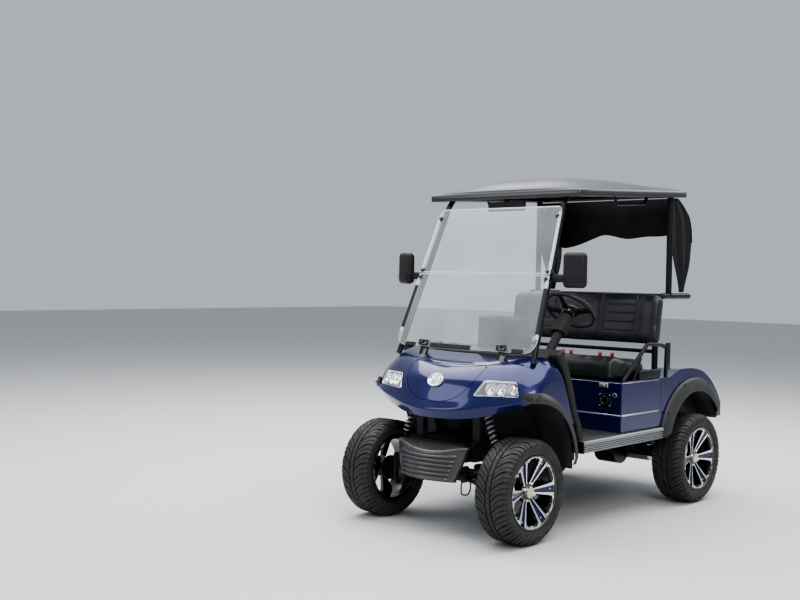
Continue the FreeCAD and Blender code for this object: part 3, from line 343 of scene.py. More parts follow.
def slab(bm, outline, push):
    """A flat outline pushed along a vector, closed at both ends."""
    face = bm.faces.new([bm.verts.new(p) for p in outline])
    grown = bmesh.ops.extrude_face_region(bm, geom=[face])
    bmesh.ops.translate(bm, vec=push, verts=of_kind(grown, bmesh.types.BMVert))


def linked(name, bm):
    """An object in the scene that holds a bmesh."""
    mesh = bpy.data.meshes.new(name)
    bm.to_mesh(mesh)
    bm.free()
    made = bpy.data.objects.new(name, mesh)
    bpy.context.scene.collection.objects.link(made)
    return made


def piece(name, bm, finishes, body="chassis", replaces=(), angle=40, tidy=True, mirror=False):
    """Turns a bmesh into a piece that rides on a body."""
    if mirror:
        bmesh.ops.mirror(bm, geom=bm.verts[:] + bm.edges[:] + bm.faces[:], matrix=Matrix.Identity(4),
                         merge_dist=MERGE, axis="X")
    if tidy:
        bmesh.ops.recalc_face_normals(bm, faces=bm.faces[:])
    made = linked(name, bm)
    for material in finishes if isinstance(finishes, list) else [finishes]:
        made.data.materials.append(material)
    made.data.shade_smooth()
    if angle:
        made.data.set_sharp_from_angle(angle=math.radians(angle))
    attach(made, body)
    if replaces:
        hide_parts(*replaces)
    return made


def with_modifier(made, kind, **settings):
    changed = made.modifiers.new(kind.title(), kind)
    for key, value in settings.items():
        setattr(changed, key, value)


def round_edges(made, width, segments=2, **settings):
    with_modifier(made, "BEVEL", width=width, segments=segments, limit_method="ANGLE", **settings)


def settle(made):
    """Replaces a piece's mesh by what its modifiers make of it."""
    graph = bpy.context.evaluated_depsgraph_get()
    mesh = bpy.data.meshes.new_from_object(made.evaluated_get(graph))
    made.modifiers.clear()
    made.data = mesh


def wear(name, material):
    """Gives a construction piece its finish."""
    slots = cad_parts[name].data.materials
    slots.clear()
    slots.append(material)


def round_crests(bm, rows):
    """Rounds the shallow corners across a body's top; rows hold first and last station and width."""
    for first, last, width in rows:
        edges = []
        for edge in bm.edges:
            a, b = (vert.co for vert in edge.verts)
            level = abs(a.y - b.y) < 0.0005 and abs(a.z - b.z) < 0.0005
            if level and len(edge.link_faces) == 2 and first < a.y - AXLE < last:
                if min(face.normal.z for face in edge.link_faces) > 0.05:
                    edges.append(edge)
        bmesh.ops.bevel(bm, geom=edges, offset=width, offset_type="OFFSET", segments=5, profile=0.5,
                        affect="EDGES", clamp_overlap=True, material=-1)


def softened(name, material, width, crests=()):
    """A construction piece with its flat faces joined up and its edges rounded."""
    bm = bmesh.new()
    bm.from_mesh(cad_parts[name].data)
    bmesh.ops.remove_doubles(bm, verts=bm.verts[:], dist=0.00005)
    bmesh.ops.dissolve_limit(bm, angle_limit=math.radians(1.5), verts=bm.verts[:], edges=bm.edges[:],
                             delimit=set())
    round_crests(bm, crests)
    made = piece(name + "_shell", bm, material, replaces=[name], tidy=False)
    round_edges(made, width, 3, angle_limit=math.radians(28))


# Front cowl. Sections across half the vehicle: share of the half width, then station and height
# over the chin for chin, lip, lamp foot, badge, lamp top, hood, hood top, base and rear edge
BODY_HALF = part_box("front_cowl")[1].x
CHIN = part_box("floor_board")[0].z + 0.13
FRONT_ARCH, REAR_ARCH, ARCH_RADIUS = at(0, 0, 0.4), at(0, WHEELBASE + 0.022, 0.362), 0.372
COWL_SECTIONS = [
    (0.000, [(-190, 0), (-203, 46), (-170, 92), (-140, 198), (-100, 245),
             (-26, 284), (40, 306), (112, 326), (196, 346)]),
    (0.350, [(-150, 10), (-172, 60), (-148, 110), (-122, 200), (-82, 250),
             (-15, 290), (45, 311), (112, 328), (196, 348)]),
    (0.530, [(-105, 25), (-130, 75), (-117, 132), (-96, 180), (-72, 226),
             (5, 298), (58, 318), (114, 333), (198, 352)]),
    (0.780, [(-60, 70), (-85, 105), (-68, 140), (-50, 182), (-28, 227),
             (22, 282), (75, 314), (127, 340), (200, 364)]),
    (0.930, [(-15, 105), (-30, 120), (-15, 145), (8, 182), (35, 222),
             (80, 255), (120, 285), (165, 325), (215, 340)]),
    (1.000, [(28, 128), (22, 138), (32, 152), (52, 180), (75, 207),
             (105, 232), (140, 250), (185, 268), (240, 272)]),
]
DOOR_EDGE = [(262, 250), (302, 183), (352, 38), (382, -20)]
CREASES = ((1, 0.45), (2, 0.8))  # lip and lamp foot: the point's number in a section, and sharpness
SEAM_HALF = 0.0016


def cowl_rows():
    """Lines of points from the middle to the left side, then down the side to the arch."""
    rows = []
    for share, points in COWL_SECTIONS:
        last = points[-1]
        tail = [(last[0] + 5 * k, last[1] - 24 * k) for k in range(1, 5)] if share < 1 else DOOR_EDGE
        rows.append([at(share * BODY_HALF, y / 1000, CHIN + z / 1000) for y, z in points + tail])
    edge = rows[-1]
    centre = FRONT_ARCH + X_AXIS * BODY_HALF
    arc = [centre + around(4 + 51 * share) * (ARCH_RADIUS + 0.002) for share in shares(len(edge) - 1)]
    rows += [[p.lerp(q, share) for p, q in zip(edge, arc)] for share in (0.22, 0.96)]
    return rows + [arc, [p - X_AXIS * 0.02 for p in arc]]


def cowl_skin(name):
    """The whole painted front as one smooth shell."""
    bm = bmesh.new()
    half = cowl_rows()
    other = [[Vector((-p.x, p.y, p.z)) for p in line] for line in half[:0:-1]]
    rows = skin(bm, other + half)
    # The lip's edges stay crisp across the front
    crease = bm.edges.layers.float.new("crease_edge")
    middle, reach = len(half) - 1, len(COWL_SECTIONS) - 1
    front = rows[middle - reach:middle + reach + 1]
    for line, sharpness in CREASES:
        for here, after in zip(front, front[1:]):
            bm.edges.get((here[line], after[line]))[crease] = sharpness
    bmesh.ops.recalc_face_normals(bm, faces=bm.faces[:])
    nose = min(bm.faces, key=lambda face: face.calc_center_median().y)
    if nose.normal.y > 0:
        bmesh.ops.reverse_faces(bm, faces=bm.faces[:])
    made = piece(name, bm, BLUE, tidy=False, angle=None)
    with_modifier(made, "SUBSURF", levels=3, render_levels=3)
    with_modifier(made, "SOLIDIFY", thickness=0.005, offset=-1.0)
    return made


def carve(made, bm, operation="DIFFERENCE"):
    """Cuts a piece by a tool shape, or keeps what they share."""
    bmesh.ops.recalc_face_normals(bm, faces=bm.faces[:])
    tool = linked("cutter", bm)
    with_modifier(made, "BOOLEAN", object=tool, operation=operation, solver="EXACT")
    settle(made)
    bpy.data.objects.remove(tool)


def shield_outline(grow):
    """The hood panel's seam: wide shoulders down to a round foot."""
    half = [(0.0, 0.289), (0.12, 0.291), (0.225, 0.294), (0.252, 0.292), (0.262, 0.282), (0.254, 0.250),
            (0.238, 0.212), (0.216, 0.175), (0.187, 0.144), (0.148, 0.118), (0.10, 0.102), (0.05, 0.094)]
    outline = half + [(0.0, 0.092)] + [(-x, z) for x, z in half[:0:-1]]
    middle = 0.19
    return [at(x * (1 + grow / 0.23), -0.4, CHIN + middle + (z - middle) * (1 + grow / 0.1))
            for x, z in outline]


def lamp_corners(side, grow):
    """Lamp outline on one side: inner foot, outer foot, outer top, inner top."""
    return [at(side * x, y, z) for x, y, z in (
        (0.262 - grow, -0.128, 0.770 - grow), (0.499 + grow, -0.035, 0.773 - grow),
        (0.470 + grow, -0.016, 0.854 + grow), (0.297 - grow, -0.072, 0.854 + grow))]


def rounded_face(bm, corners, radius):
    """One flat face with its corners rounded."""
    start = set(bm.faces)
    verts = [bm.verts.new(p) for p in corners]
    bm.faces.new(verts)
    bmesh.ops.bevel(bm, geom=verts, offset=radius, segments=5, profile=0.5, affect="VERTICES",
                    material=-1)
    return next(face for face in bm.faces if face not in start)


def lamp_direction(corners):
    way = (corners[1] - corners[0]).cross(corners[3] - corners[0]).normalized()
    return way if way.y < 0 else -way


def front_cowl():
    """Cowl and hood panel, cut from the same skin with a seam, and openings for the lamps."""
    cowl, hood = cowl_skin("cowl_panel"), cowl_skin("hood_shield")
    for made, grow, operation in ((cowl, SEAM_HALF, "DIFFERENCE"), (hood, -SEAM_HALF, "INTERSECT")):
        bm = bmesh.new()
        slab(bm, shield_outline(grow), Y_AXIS * 0.45)
        carve(made, bm, operation)
    for side in (1, -1):
        bm = bmesh.new()
        corners = lamp_corners(side, 0.002)
        way = lamp_direction(corners)
        rounded_face(bm, [p + way * 0.05 for p in corners], 0.014)
        grown = bmesh.ops.extrude_face_region(bm, geom=bm.faces[:])
        bmesh.ops.translate(bm, vec=-way * 0.12, verts=of_kind(grown, bmesh.types.BMVert))
        carve(cowl, bm)
    for made, node_name in ((cowl, "front_cowl"), (hood, "hood_panel")):
        made.data.shade_smooth()
        made.data.set_sharp_from_angle(angle=math.radians(38))
        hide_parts(node_name)
        with_modifier(made, "WEIGHTED_NORMAL", keep_sharp=True)


def headlamps():
    """Chrome bezel, dark bucket with three bowls and a divider, and a clear lens."""
    bezel, bowls, lens = bmesh.new(), bmesh.new(), bmesh.new()
    for side in (1, -1):
        corners = lamp_corners(side, -0.001)
        way = lamp_direction(corners)
        middle = sum(corners, Vector()) / 4
        inner_foot, outer_foot, outer_top, inner_top = corners
        face = rounded_face(bezel, [p + way * 0.001 for p in corners], 0.013)
        bmesh.ops.inset_region(bezel, faces=[face], thickness=0.008, depth=0.002)
        bmesh.ops.inset_region(bezel, faces=[face], thickness=0.002, depth=-0.001)
        floor = bmesh.ops.extrude_discrete_faces(bezel, faces=[face])["faces"][0]
        bmesh.ops.translate(bezel, vec=-way * 0.034, verts=floor.verts[:])
        bmesh.ops.scale(bezel, vec=(0.94, 0.94, 0.9), space=Matrix.Translation(-(middle - way * 0.034)),
                        verts=floor.verts[:])
        floor.material_index = 1
        for share, radius in ((0.31, 0.030), (0.58, 0.030), (0.875, 0.022)):
            spot = inner_foot.lerp(outer_foot, share).lerp(inner_top.lerp(outer_top, share), 0.5)
            lathe(bowls, [(-0.030, 0.006), (-0.029, radius * 0.45), (-0.022, radius * 0.78),
                          (-0.010, radius), (-0.008, radius + 0.002), (-0.012, radius + 0.004)],
                  spot, way, 28)
            lathe(bowls, [(-0.030, POLE), (-0.012, 0.006), (-0.010, 0.0045), (-0.009, POLE)],
                  spot, way, 16)
        split = inner_foot.lerp(outer_foot, 0.745), inner_top.lerp(outer_top, 0.76)
        slab(bowls, [split[0] - way * 0.03, split[1] - way * 0.03, split[1] - way * 0.003,
                     split[0] - way * 0.003], (outer_foot - inner_foot).normalized() * 0.004)
        face = rounded_face(lens, [p.lerp(middle, 0.08) + way * 0.001 for p in corners], 0.011)
        bmesh.ops.inset_region(lens, faces=[face], thickness=0.008, depth=0.0022)
    made = piece("lamp_bezels", bezel, [CHROME, GLOSS_BLACK], replaces=["headlamps"],
                 angle=30)
    with_modifier(made, "SOLIDIFY", thickness=0.0015, offset=-1.0)
    piece("lamp_bowls", bowls, CHROME, angle=30)
    with_modifier(piece("lamp_lenses", lens, LENS, angle=50), "SOLIDIFY", thickness=0.0018, offset=-1.0)


def badge():
    """A plain oval badge: bright ring with a blank dished face."""
    way = Vector((0, -0.80, 0.60)).normalized()
    centre = at(0, -0.1305, CHIN + 0.207)
    bm = bmesh.new()
    lathe(bm, [(-0.008, 0.041), (0.002, 0.0415), (0.0055, 0.0395), (0.006, 0.036), (0.004, 0.0325),
               (0.0022, 0.031), (0.0030, 0.021), (0.0036, 0.010), (0.0038, POLE)], centre, way, 64)
    for vert in bm.verts:
        vert.co.x *= 1.27
    for face in bm.faces:
        face.material_index = 1 if (face.calc_center_median() - centre).length < 0.030 else 0
    piece("oval_badge", bm, [CHROME, STEEL], angle=50)


# Windshield
SCREEN_LEAN = math.radians(22)
SCREEN_TURN = Matrix.Rotation(-SCREEN_LEAN, 3, "X")
SCREEN_BACK = Vector((0, math.cos(SCREEN_LEAN), -math.sin(SCREEN_LEAN)))
pane_low, pane_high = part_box("windshield_lower"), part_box("windshield_upper")
SCREEN_STATION, SCREEN_FOOT = pane_low[0].y - AXLE, pane_low[0].z + 0.002
PANE_SPLIT, PANE_TOP = pane_high[0].z + 0.001, pane_high[1].z
SCREEN_HALF, SCREEN_TAPER = 0.5085, 0.0665


def screen(share, height, back=0.0):
    """A point on the windshield's face at a share of its half width."""
    rise = height - SCREEN_FOOT
    half = SCREEN_HALF - SCREEN_TAPER * rise / (PANE_TOP - SCREEN_FOOT)
    return at(share * half, SCREEN_STATION + rise * math.tan(SCREEN_LEAN), height) + SCREEN_BACK * back


def screen_quad(x0, x1, z0, z1, back=0.0):
    return [screen(x0, z0, back), screen(x1, z0, back), screen(x1, z1, back), screen(x0, z1, back)]


def pane(name, node_name, low, high, foot_radius, top_radius):
    """A clear sheet with one radius at its foot corners and one at its top."""
    bm = bmesh.new()
    verts = [bm.verts.new(p) for p in screen_quad(-0.998, 0.998, low, high)]
    bm.faces.new(verts)
    for vert, radius in zip(verts, (foot_radius, foot_radius, top_radius, top_radius)):
        bmesh.ops.bevel(bm, geom=[vert], offset=radius, segments=10, profile=0.5, affect="VERTICES",
                        material=-1)
    made = piece(name, bm, [ACRYLIC, ACRYLIC_EDGE], replaces=[node_name])
    if made.data.polygons[0].normal.y > 0:
        made.data.flip_normals()
    with_modifier(made, "SOLIDIFY", thickness=0.005, offset=-1.0, material_offset_rim=1)
    round_edges(made, 0.0015, material=1)


def windshield():
    """Fixed lower pane, folding upper pane, their gaskets and mouldings, clips and foot clamps."""
    low, high = SCREEN_FOOT, PANE_SPLIT
    pane("pane_fixed", "windshield_lower", low, high - 0.003, 0.075, 0.004)
    pane("pane_folding", "windshield_upper", high + 0.001, PANE_TOP - 0.001, 0.004, 0.030)
    # Edge guards and foot bars: share low, share high, height low, height high
    bm = bmesh.new()
    for x0, x1, z0, z1 in (
            (0.955, 1.0, 1.10, 1.35), (-1.0, -0.955, 1.10, 1.35), (-0.46, 0.12, low - 0.001, low + 0.022),
            (0.69, 0.84, low - 0.001, low + 0.020), (-0.84, -0.69, low - 0.001, low + 0.020)):
        slab(bm, screen_quad(x0, x1, z0, z1, -0.002), SCREEN_BACK * 0.011)
    round_edges(piece("screen_gaskets", bm, RUBBER_TRIM, angle=35), 0.002)
    bm = bmesh.new()
    for side in (1, -1):
        for z0, z1 in ((low + 0.078, high - 0.006), (high + 0.006, PANE_TOP - 0.034)):
            slab(bm, screen_quad(side * 0.966, side * 0.9985, z0, z1, -0.0012), SCREEN_BACK * 0.009)
    for z in (high - 0.007, high + 0.0055, PANE_TOP - 0.008):
        slab(bm, screen_quad(-0.955, 0.955, z, z + 0.004, -0.0012), SCREEN_BACK * 0.008)
    piece("screen_mouldings", bm, ACRYLIC_EDGE)

    bm = bmesh.new()

    def lug(share, height, back, half):
        middle, half = screen(share, height, back), Vector(half)
        block(bm, middle - half, middle + half, 0.005, 3, SCREEN_TURN)

    for share, height in ((0.965, 1.44), (0.965, 1.40), (0.955, 1.755)):
        for side in (-1, 1):
            lug(side * share, height, 0.012, (0.018, 0.010, 0.019))
            lathe(bm, [(-0.004, POLE), (-0.004, 0.010), (0.0, 0.0115), (0.008, 0.0105), (0.010, 0.006),
                       (0.0104, POLE)], screen(side * share, height, -0.0005), -SCREEN_BACK, 20)
    # Clamps that hold the foot: a stay down to the cowl, two jaws and a thumb screw
    for share in (-0.56, 0.56):
        lug(share, low - 0.017, 0.018, (0.028, 0.009, 0.038))
        lug(share, low + 0.020, -0.0085, (0.032, 0.0075, 0.018))
        lug(share, low + 0.020, 0.0145, (0.032, 0.0075, 0.020))
        lathe(bm, [(0.0, POLE), (0.0, 0.009), (0.006, 0.011), (0.013, 0.010), (0.015, POLE)],
              screen(share, low + 0.022, -0.015), -SCREEN_BACK, 18)
    piece("screen_clips", bm, GLOSS_BLACK, replaces=["windshield_fittings"])


# Tyres and rims
TREAD_PITCHES, LUG_STEPS = 30, (0.0195, 0.036, 0.054, 0.071, 0.084, 0.0945, 0.1015, 0.1042)
SPOKE_PAIRS, NOTCHES = 6, 14
TREAD_DEPTH = 0.009
OUTWARD = 0.75  # how far a face's normal must point out along the axle to be machined or painted
MACHINED, BLACKENED, INLAID = 0, 1, 2


def wheel_point(side, middle, across, radius, angle):
    """A point on a wheel: across is outward from its middle plane."""
    return middle + X_AXIS * side * across + around(angle) * radius


def turned(bm, side, profile, centre, segments):
    """A profile of (outward, radius) turned about a wheel's axle."""
    lathe(bm, [(side * across, radius) for across, radius in profile], centre, X_AXIS, segments)


def tread_height(across):
    """Radius of the tread's crown at a distance from the tyre's middle plane."""
    edge = max(abs(across) - 0.062, 0) / (TYRE_HALF - 0.062)
    return TYRE_RADIUS - 0.030 * edge ** 2.2


def tyre(corner, side, middle):
    """Carcass with sidewall rings, then slanted lugs that wrap over the shoulders, and a middle rib."""
    bm = bmesh.new()
    half = [(0.0, TYRE_RADIUS - 0.008), (0.050, TYRE_RADIUS - 0.008), (0.080, TYRE_RADIUS - 0.012),
            (0.095, TYRE_RADIUS - 0.022), (0.1025, TYRE_RADIUS - 0.040), (TYRE_HALF - 0.001, 0.236),
            (TYRE_HALF - 0.0005, 0.229), (0.1025, 0.2275), (0.1035, 0.222), (0.101, 0.213),
            (0.0985, 0.209), (0.0965, 0.2085), (0.0945, 0.203), (0.090, 0.199), (0.083, 0.180)]
    turned(bm, side, [(-a, r) for a, r in half[:0:-1]] + half, middle, 96)
    step = 360 / TREAD_PITCHES

    def lug(way, first, wide):
        """One slanted lug between two angles, from the rib to the shoulder."""
        sections = []
        for across in LUG_STEPS:
            share = (across - LUG_STEPS[0]) / 0.085
            swing = 11.0 * (1 - share) ** 2 + (step / 2 if way < 0 else 0)
            top = tread_height(across) if share < 0.98 else TYRE_RADIUS - 0.046
            foot = top - (TREAD_DEPTH if share < 0.9 else 0.004)
            trim = 0.25 if share > 0.7 else 0.0
            low_across = across - (0.004 if share > 0.8 else 0)
            a0, a1 = first + swing + trim, first + swing + wide - trim
            ring = ((low_across, foot, a0), (across, top, a0 + 0.18), (across, top, a1 - 0.18),
                    (low_across, foot, a1))
            sections.append([wheel_point(side, middle, way * reach, radius, -angle)
                             for reach, radius, angle in ring])
        solid_skin(bm, sections)

    def rib(a0, a1):
        """One length of the middle rib, with its ends cut askew."""
        foot = TYRE_RADIUS - TREAD_DEPTH
        ring = ((foot, a0), (TYRE_RADIUS, a0), (TYRE_RADIUS, (a0 + a1) / 2), (TYRE_RADIUS, a1),
                (foot, a1))
        solid_skin(bm, [[wheel_point(side, middle, across, radius, -angle - bend)
                         for radius, angle in ring] for across, bend in ((-0.0115, -1.2), (0.0115, 1.2))])

    for pitch in range(TREAD_PITCHES):
        start = pitch * step
        for shift, wide in ((0, 0.435), (0.46, 0.40)):
            for way in (1, -1):
                lug(way, start + shift * step, wide * step)
        for half_step in (0, step / 2):
            rib(start + half_step + 0.25, start + half_step + step / 2 - 0.25)
    piece("tread_" + corner, bm, TYRE, "wheel_" + corner, ["tyre_" + corner], angle=28)


def rim_bar(bm, side, sections, face_index):
    """A bar of the rim: its outward faces take one finish and the others are black."""
    start = set(bm.faces)
    solid_skin(bm, sections)
    fresh = [face for face in bm.faces if face not in start]
    bmesh.ops.recalc_face_normals(bm, faces=fresh)
    for face in fresh:
        face.material_index = face_index if face.normal.x * side > OUTWARD else BLACKENED


def spoke_bar(bm, side, middle, angle, rows, face_index):
    """One arm from hub to rim; rows are radius, offset sideways, half width, depth and face."""
    out = around(angle)
    along = Vector((0, out.z, -out.y))
    sections = []
    for radius, aside, half, depth, face in rows:
        base = middle + out * radius + along * aside
        sections.append([base + along * half * edge + X_AXIS * side * height for edge, height in (
            (-1, face - depth), (-1, face), (1, face), (1, face - depth))])
    rim_bar(bm, side, sections, face_index)


def rim(corner, side, middle):
    """Barrel, six split spokes with painted inlays, jagged machined edge, nuts and a round cap."""
    name, body, slot = "rim_" + corner, "wheel_" + corner, "rim_alloy"
    low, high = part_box(name)
    half, outer = (high.x - low.x) / 2, (high.z - low.z) / 2
    hub_face = half - 0.046
    bm = bmesh.new()
    turned(bm, side, [
        (-half, outer - 0.001), (-half, outer - 0.013), (-half + 0.014, 0.171), (0.020, 0.171),
        (0.045, 0.172), (half - 0.016, 0.174), (half - 0.006, 0.187), (half - 0.002, 0.190),
        (half - 0.0005, outer - 0.008), (half, outer - 0.002), (half - 0.003, outer),
        (half - 0.012, outer - 0.004), (half - 0.014, 0.178), (-half + 0.012, 0.178),
        (-half + 0.003, outer), (-half, outer - 0.001)], middle, 84)
    turned(bm, side, [
        (hub_face - 0.018, 0.0171), (hub_face - 0.018, 0.060), (hub_face - 0.004, 0.058),
        (hub_face + 0.001, 0.052), (hub_face + 0.0015, 0.034), (hub_face - 0.002, 0.033),
        (hub_face - 0.002, 0.0171), (hub_face - 0.018, 0.0171)], middle, 56)
    for face in bm.faces:
        face.material_index = BLACKENED
    step = 360 / SPOKE_PAIRS
    # Radius, offset sideways, half width, depth, and face over the hub's
    spoke = ((0.044, 0.0105, 0.0032, 0.018, 0.003), (0.070, 0.0135, 0.0040, 0.020, 0.009),
             (0.110, 0.0185, 0.0052, 0.022, 0.0195), (0.150, 0.0240, 0.0066, 0.022, 0.0300),
             (0.172, 0.0285, 0.0090, 0.020, 0.0365), (0.1840, 0.0340, 0.0140, 0.016, 0.0395),
             (0.1925, 0.0385, 0.0180, 0.012, 0.0405))
    inlay = ((0.046, 0, 0.0058, 0.010, -0.001), (0.110, 0, 0.0122, 0.012, 0.0125),
             (0.150, 0, 0.0170, 0.012, 0.0225), (0.1905, 0, 0.0230, 0.010, 0.0330))
    for i in range(SPOKE_PAIRS):
        angle = (i + 0.5) * step
        for rows, way, finish_index in ((spoke, 1, MACHINED), (spoke, -1, MACHINED), (inlay, 1, INLAID)):
            rows = [(radius, way * aside, wide, depth, hub_face + face)
                    for radius, aside, wide, depth, face in rows]
            spoke_bar(bm, side, middle, angle, rows, finish_index)
        turned(bm, side, [(-0.004, 0.0045), (0.002, 0.0045), (0.003, 0.0032), (0.003, POLE)],
               wheel_point(side, middle, hub_face + 0.0262, 0.166, angle), 12)
        # Machined edge between neighbouring pairs: thin, with notches
        sections = []
        for k, share in enumerate(shares(NOTCHES)):
            thick = 0.006 + 0.0035 * (k % 4 == 1) + 0.013 * (2 * abs(share - 0.5)) ** 4
            inner, edge, reach = 0.1915 - thick, 0.1925, angle + 12 + (step - 24) * share
            ring = ((0.030, inner), (0.0405, inner), (0.0415, edge), (0.030, edge))
            sections.append([wheel_point(side, middle, hub_face + rise, radius, reach)
                             for rise, radius in ring])
        rim_bar(bm, side, sections, MACHINED)
    piece(name + "_spoked", bm, [ALLOY, GLOSS_BLACK, BLUE], body, [name], angle=32, tidy=False)
    bm = bmesh.new()
    turned(bm, side, [(hub_face + rise, radius) for rise, radius in (
        (-0.002, 0.033), (0.012, 0.0325), (0.020, 0.0305), (0.0225, 0.0275), (0.0228, 0.024),
        (0.0218, 0.022), (0.0225, 0.012), (0.0227, POLE))], middle, 48)
    piece("hub_cap_" + corner, bm, CAP_GOLD, body, angle=30)
    bm = bmesh.new()
    nut = [(0.0, 0.0085), (0.004, 0.0085), (0.005, 0.0075), (0.014, 0.0072), (0.017, 0.005),
           (0.0172, POLE)]
    for angle in (22.5, 112.5, 202.5, 292.5):
        turned(bm, side, nut, wheel_point(side, middle, hub_face, 0.0455, angle), 6)
    piece("wheel_nuts_" + corner, bm, CHROME, body, angle=30)


def wheels():
    for corner, side in (("front_left", 1), ("front_right", -1), ("rear_left", 1), ("rear_right", -1)):
        low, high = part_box("tyre_" + corner)
        tyre(corner, side, (low + high) / 2)
        rim(corner, side, (low + high) / 2)


# Roof
ROOF_LOW, ROOF_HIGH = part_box("roof")
ROOF_HALF = ROOF_HIGH.x
ROOF_FRONT, ROOF_BACK = ROOF_LOW.y - AXLE, ROOF_HIGH.y - AXLE
ROOF_RISE, FASCIA = 0.068, 0.040
DOME = ROOF_HIGH.z - ROOF_LOW.z - FASCIA - ROOF_RISE * 0.6
ROOF_CORNER = 0.022


def roof_line(station):
    """Height of the edge band's foot."""
    return ROOF_LOW.z + ROOF_RISE * (station - ROOF_FRONT) / (ROOF_BACK - ROOF_FRONT)


def crown(x, station):
    """Height of the roof's dome over its edge band."""
    run = (station - ROOF_FRONT) / (ROOF_BACK - ROOF_FRONT)
    along = 1 - (1 - ease(-0.06, 0.34, run)) ** 2
    back = 1 - 0.45 * ease(0.45, 0.94, run) - 0.45 * ease(0.935, 0.965, run)
    across = 1 - abs(x / ROOF_HALF) ** 3.0
    return max(0.0, (DOME - 0.004) * along * back * across)


def rounded_rectangle(half, length, radius, straight=14, bend=5):
    """Points round a rectangle with round corners, evenly spread along its sides."""
    corners = [(half, length), (-half, length), (-half, -length), (half, -length)]
    centres = [Vector((math.copysign(half - radius, x), math.copysign(length - radius, y)))
               for x, y in corners]
    line = []
    for quarter in range(4):
        for k in range(bend + 1):
            turn = math.radians(90 * (quarter + k / bend))
            line.append(centres[quarter] + radius * Vector((math.cos(turn), math.sin(turn))))
        start = line[-1]
        end = start + centres[(quarter + 1) % 4] - centres[quarter]
        line += [start.lerp(end, k / straight) for k in range(1, straight)]
    return line


def roof_loop(inset, height=None, corner=ROOF_CORNER):
    """A closed line in from the roof's edge; height is over the band's foot, or follows the dome."""
    middle = (ROOF_FRONT + ROOF_BACK) / 2
    line = []
    for x, y in rounded_rectangle(ROOF_HALF - inset, (ROOF_BACK - ROOF_FRONT) / 2 - inset, corner):
        rise = FASCIA + crown(x, middle + y) if height is None else height
        line.append(at(x, middle + y, roof_line(middle + y) + rise))
    return line


def roof():
    """Domed shell with a slim band round its edge, and the lining under it."""
    band = ((0.030, 0.008), (0.012, 0.002), (0.003, 0.000), (0.0008, 0.004), (0.000, 0.020),
            (0.001, FASCIA - 0.006), (0.004, FASCIA - 0.001))
    dome = [roof_loop(inset, corner=min(ROOF_CORNER + inset * 0.5, (ROOF_HALF - inset) * 0.9))
            for inset in (0.008, 0.020, 0.034, 0.050, 0.070, 0.095, 0.130, 0.175, 0.230, 0.300, 0.380,
                          0.450, 0.510)]
    lining = ((0.034, 0.010), (0.060, 0.016), (0.085, 0.030), (0.20, 0.036))
    for name, loops, finish_used, replaces, angle in (
            ("roof_dome", [roof_loop(*row) for row in band] + dome, ROOF_PLASTIC, (), 42),
            ("roof_lining", [roof_loop(*row) for row in lining], PLASTIC, ["roof"], 40)):
        bm = bmesh.new()
        rows = skin(bm, loops, closed=True)
        bmesh.ops.contextual_create(bm, geom=rows[-1])
        piece(name, bm, finish_used, replaces=replaces, angle=angle)


# Side of the body
CORNER_STATION, CORNER_BEND = 0.034, 16


def arc_lip(name, node_name, centre, start, end, depth, rise, grow, pockets):
    """A rounded flare turned about the wheel arch's middle, on both sides.

    depth and rise are how far it reaches in and out from the arch, grow the two angles between
    which it comes out from the body, and pockets the angles of its bolt pockets. It bends in
    round the body's front corner.
    """
    bm, slits = bmesh.new(), bmesh.new()
    face, lip = BODY_HALF + 0.0005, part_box(node_name)[1].x
    inner, outer = ARCH_RADIUS - depth, ARCH_RADIUS + rise
    profile = [(face, outer - 0.001), (face + 0.006, outer), (face + 0.014, outer - 0.004),
               (face + 0.020, outer - 0.014), (lip - 0.006, inner + (outer - inner) * 0.55),
               (lip - 0.0015, inner + (outer - inner) * 0.3), (lip, inner + 0.009),
               (lip - 0.0008, inner + 0.001), (lip - 0.004, inner - 0.0015), (lip - 0.008, inner + 0.002),
               (lip - 0.013, inner + 0.016), (face + 0.010, outer - 0.016), (face, outer - 0.012)]

    def spot(angle, across, radius):
        """A point of the flare, at an angle round the arch."""
        stand = min(0.16 + 0.84 * ease(*grow, angle), 0.35 + 0.65 * (end - angle) / 6)
        out = around(angle)
        corner = max(0, CORNER_STATION - (centre.y - AXLE) - radius * out.y)
        x = face - CORNER_BEND * corner ** 2 + (across - face) * stand
        return centre + X_AXIS * x + out * radius

    solid_skin(bm, [[spot(start + (end - start) * share, *row) for row in profile]
                    for share in shares(64)])
    share = 0.008 / (0.45 * (outer - inner) - 0.014)
    across = face + 0.020 + (lip - face - 0.026) * share
    half = Vector((0.006, 0.0048, 0.023))
    for angle in pockets:
        middle = spot(angle, across, outer - 0.022) - X_AXIS * 0.0052
        turn = Matrix.Rotation(-math.radians(angle) - 0.9, 3, "X")
        block(slits, middle - half, middle + half, 0.003, 2, turn)
    piece(name, bm, FLARE_PLASTIC, replaces=[node_name], mirror=True)
    piece(name + "_slits", slits, RUBBER_TRIM, mirror=True)


def flares():
    arc_lip("flare_lips_front", "front_flares", FRONT_ARCH, -4, 92, 0.024, 0.030, (-14, 26), (4,))
    arc_lip("flare_lips_rear", "rear_flares", REAR_ARCH, -78, 62, 0.030, 0.054, (-80, -72),
            (-58, -22, 22))


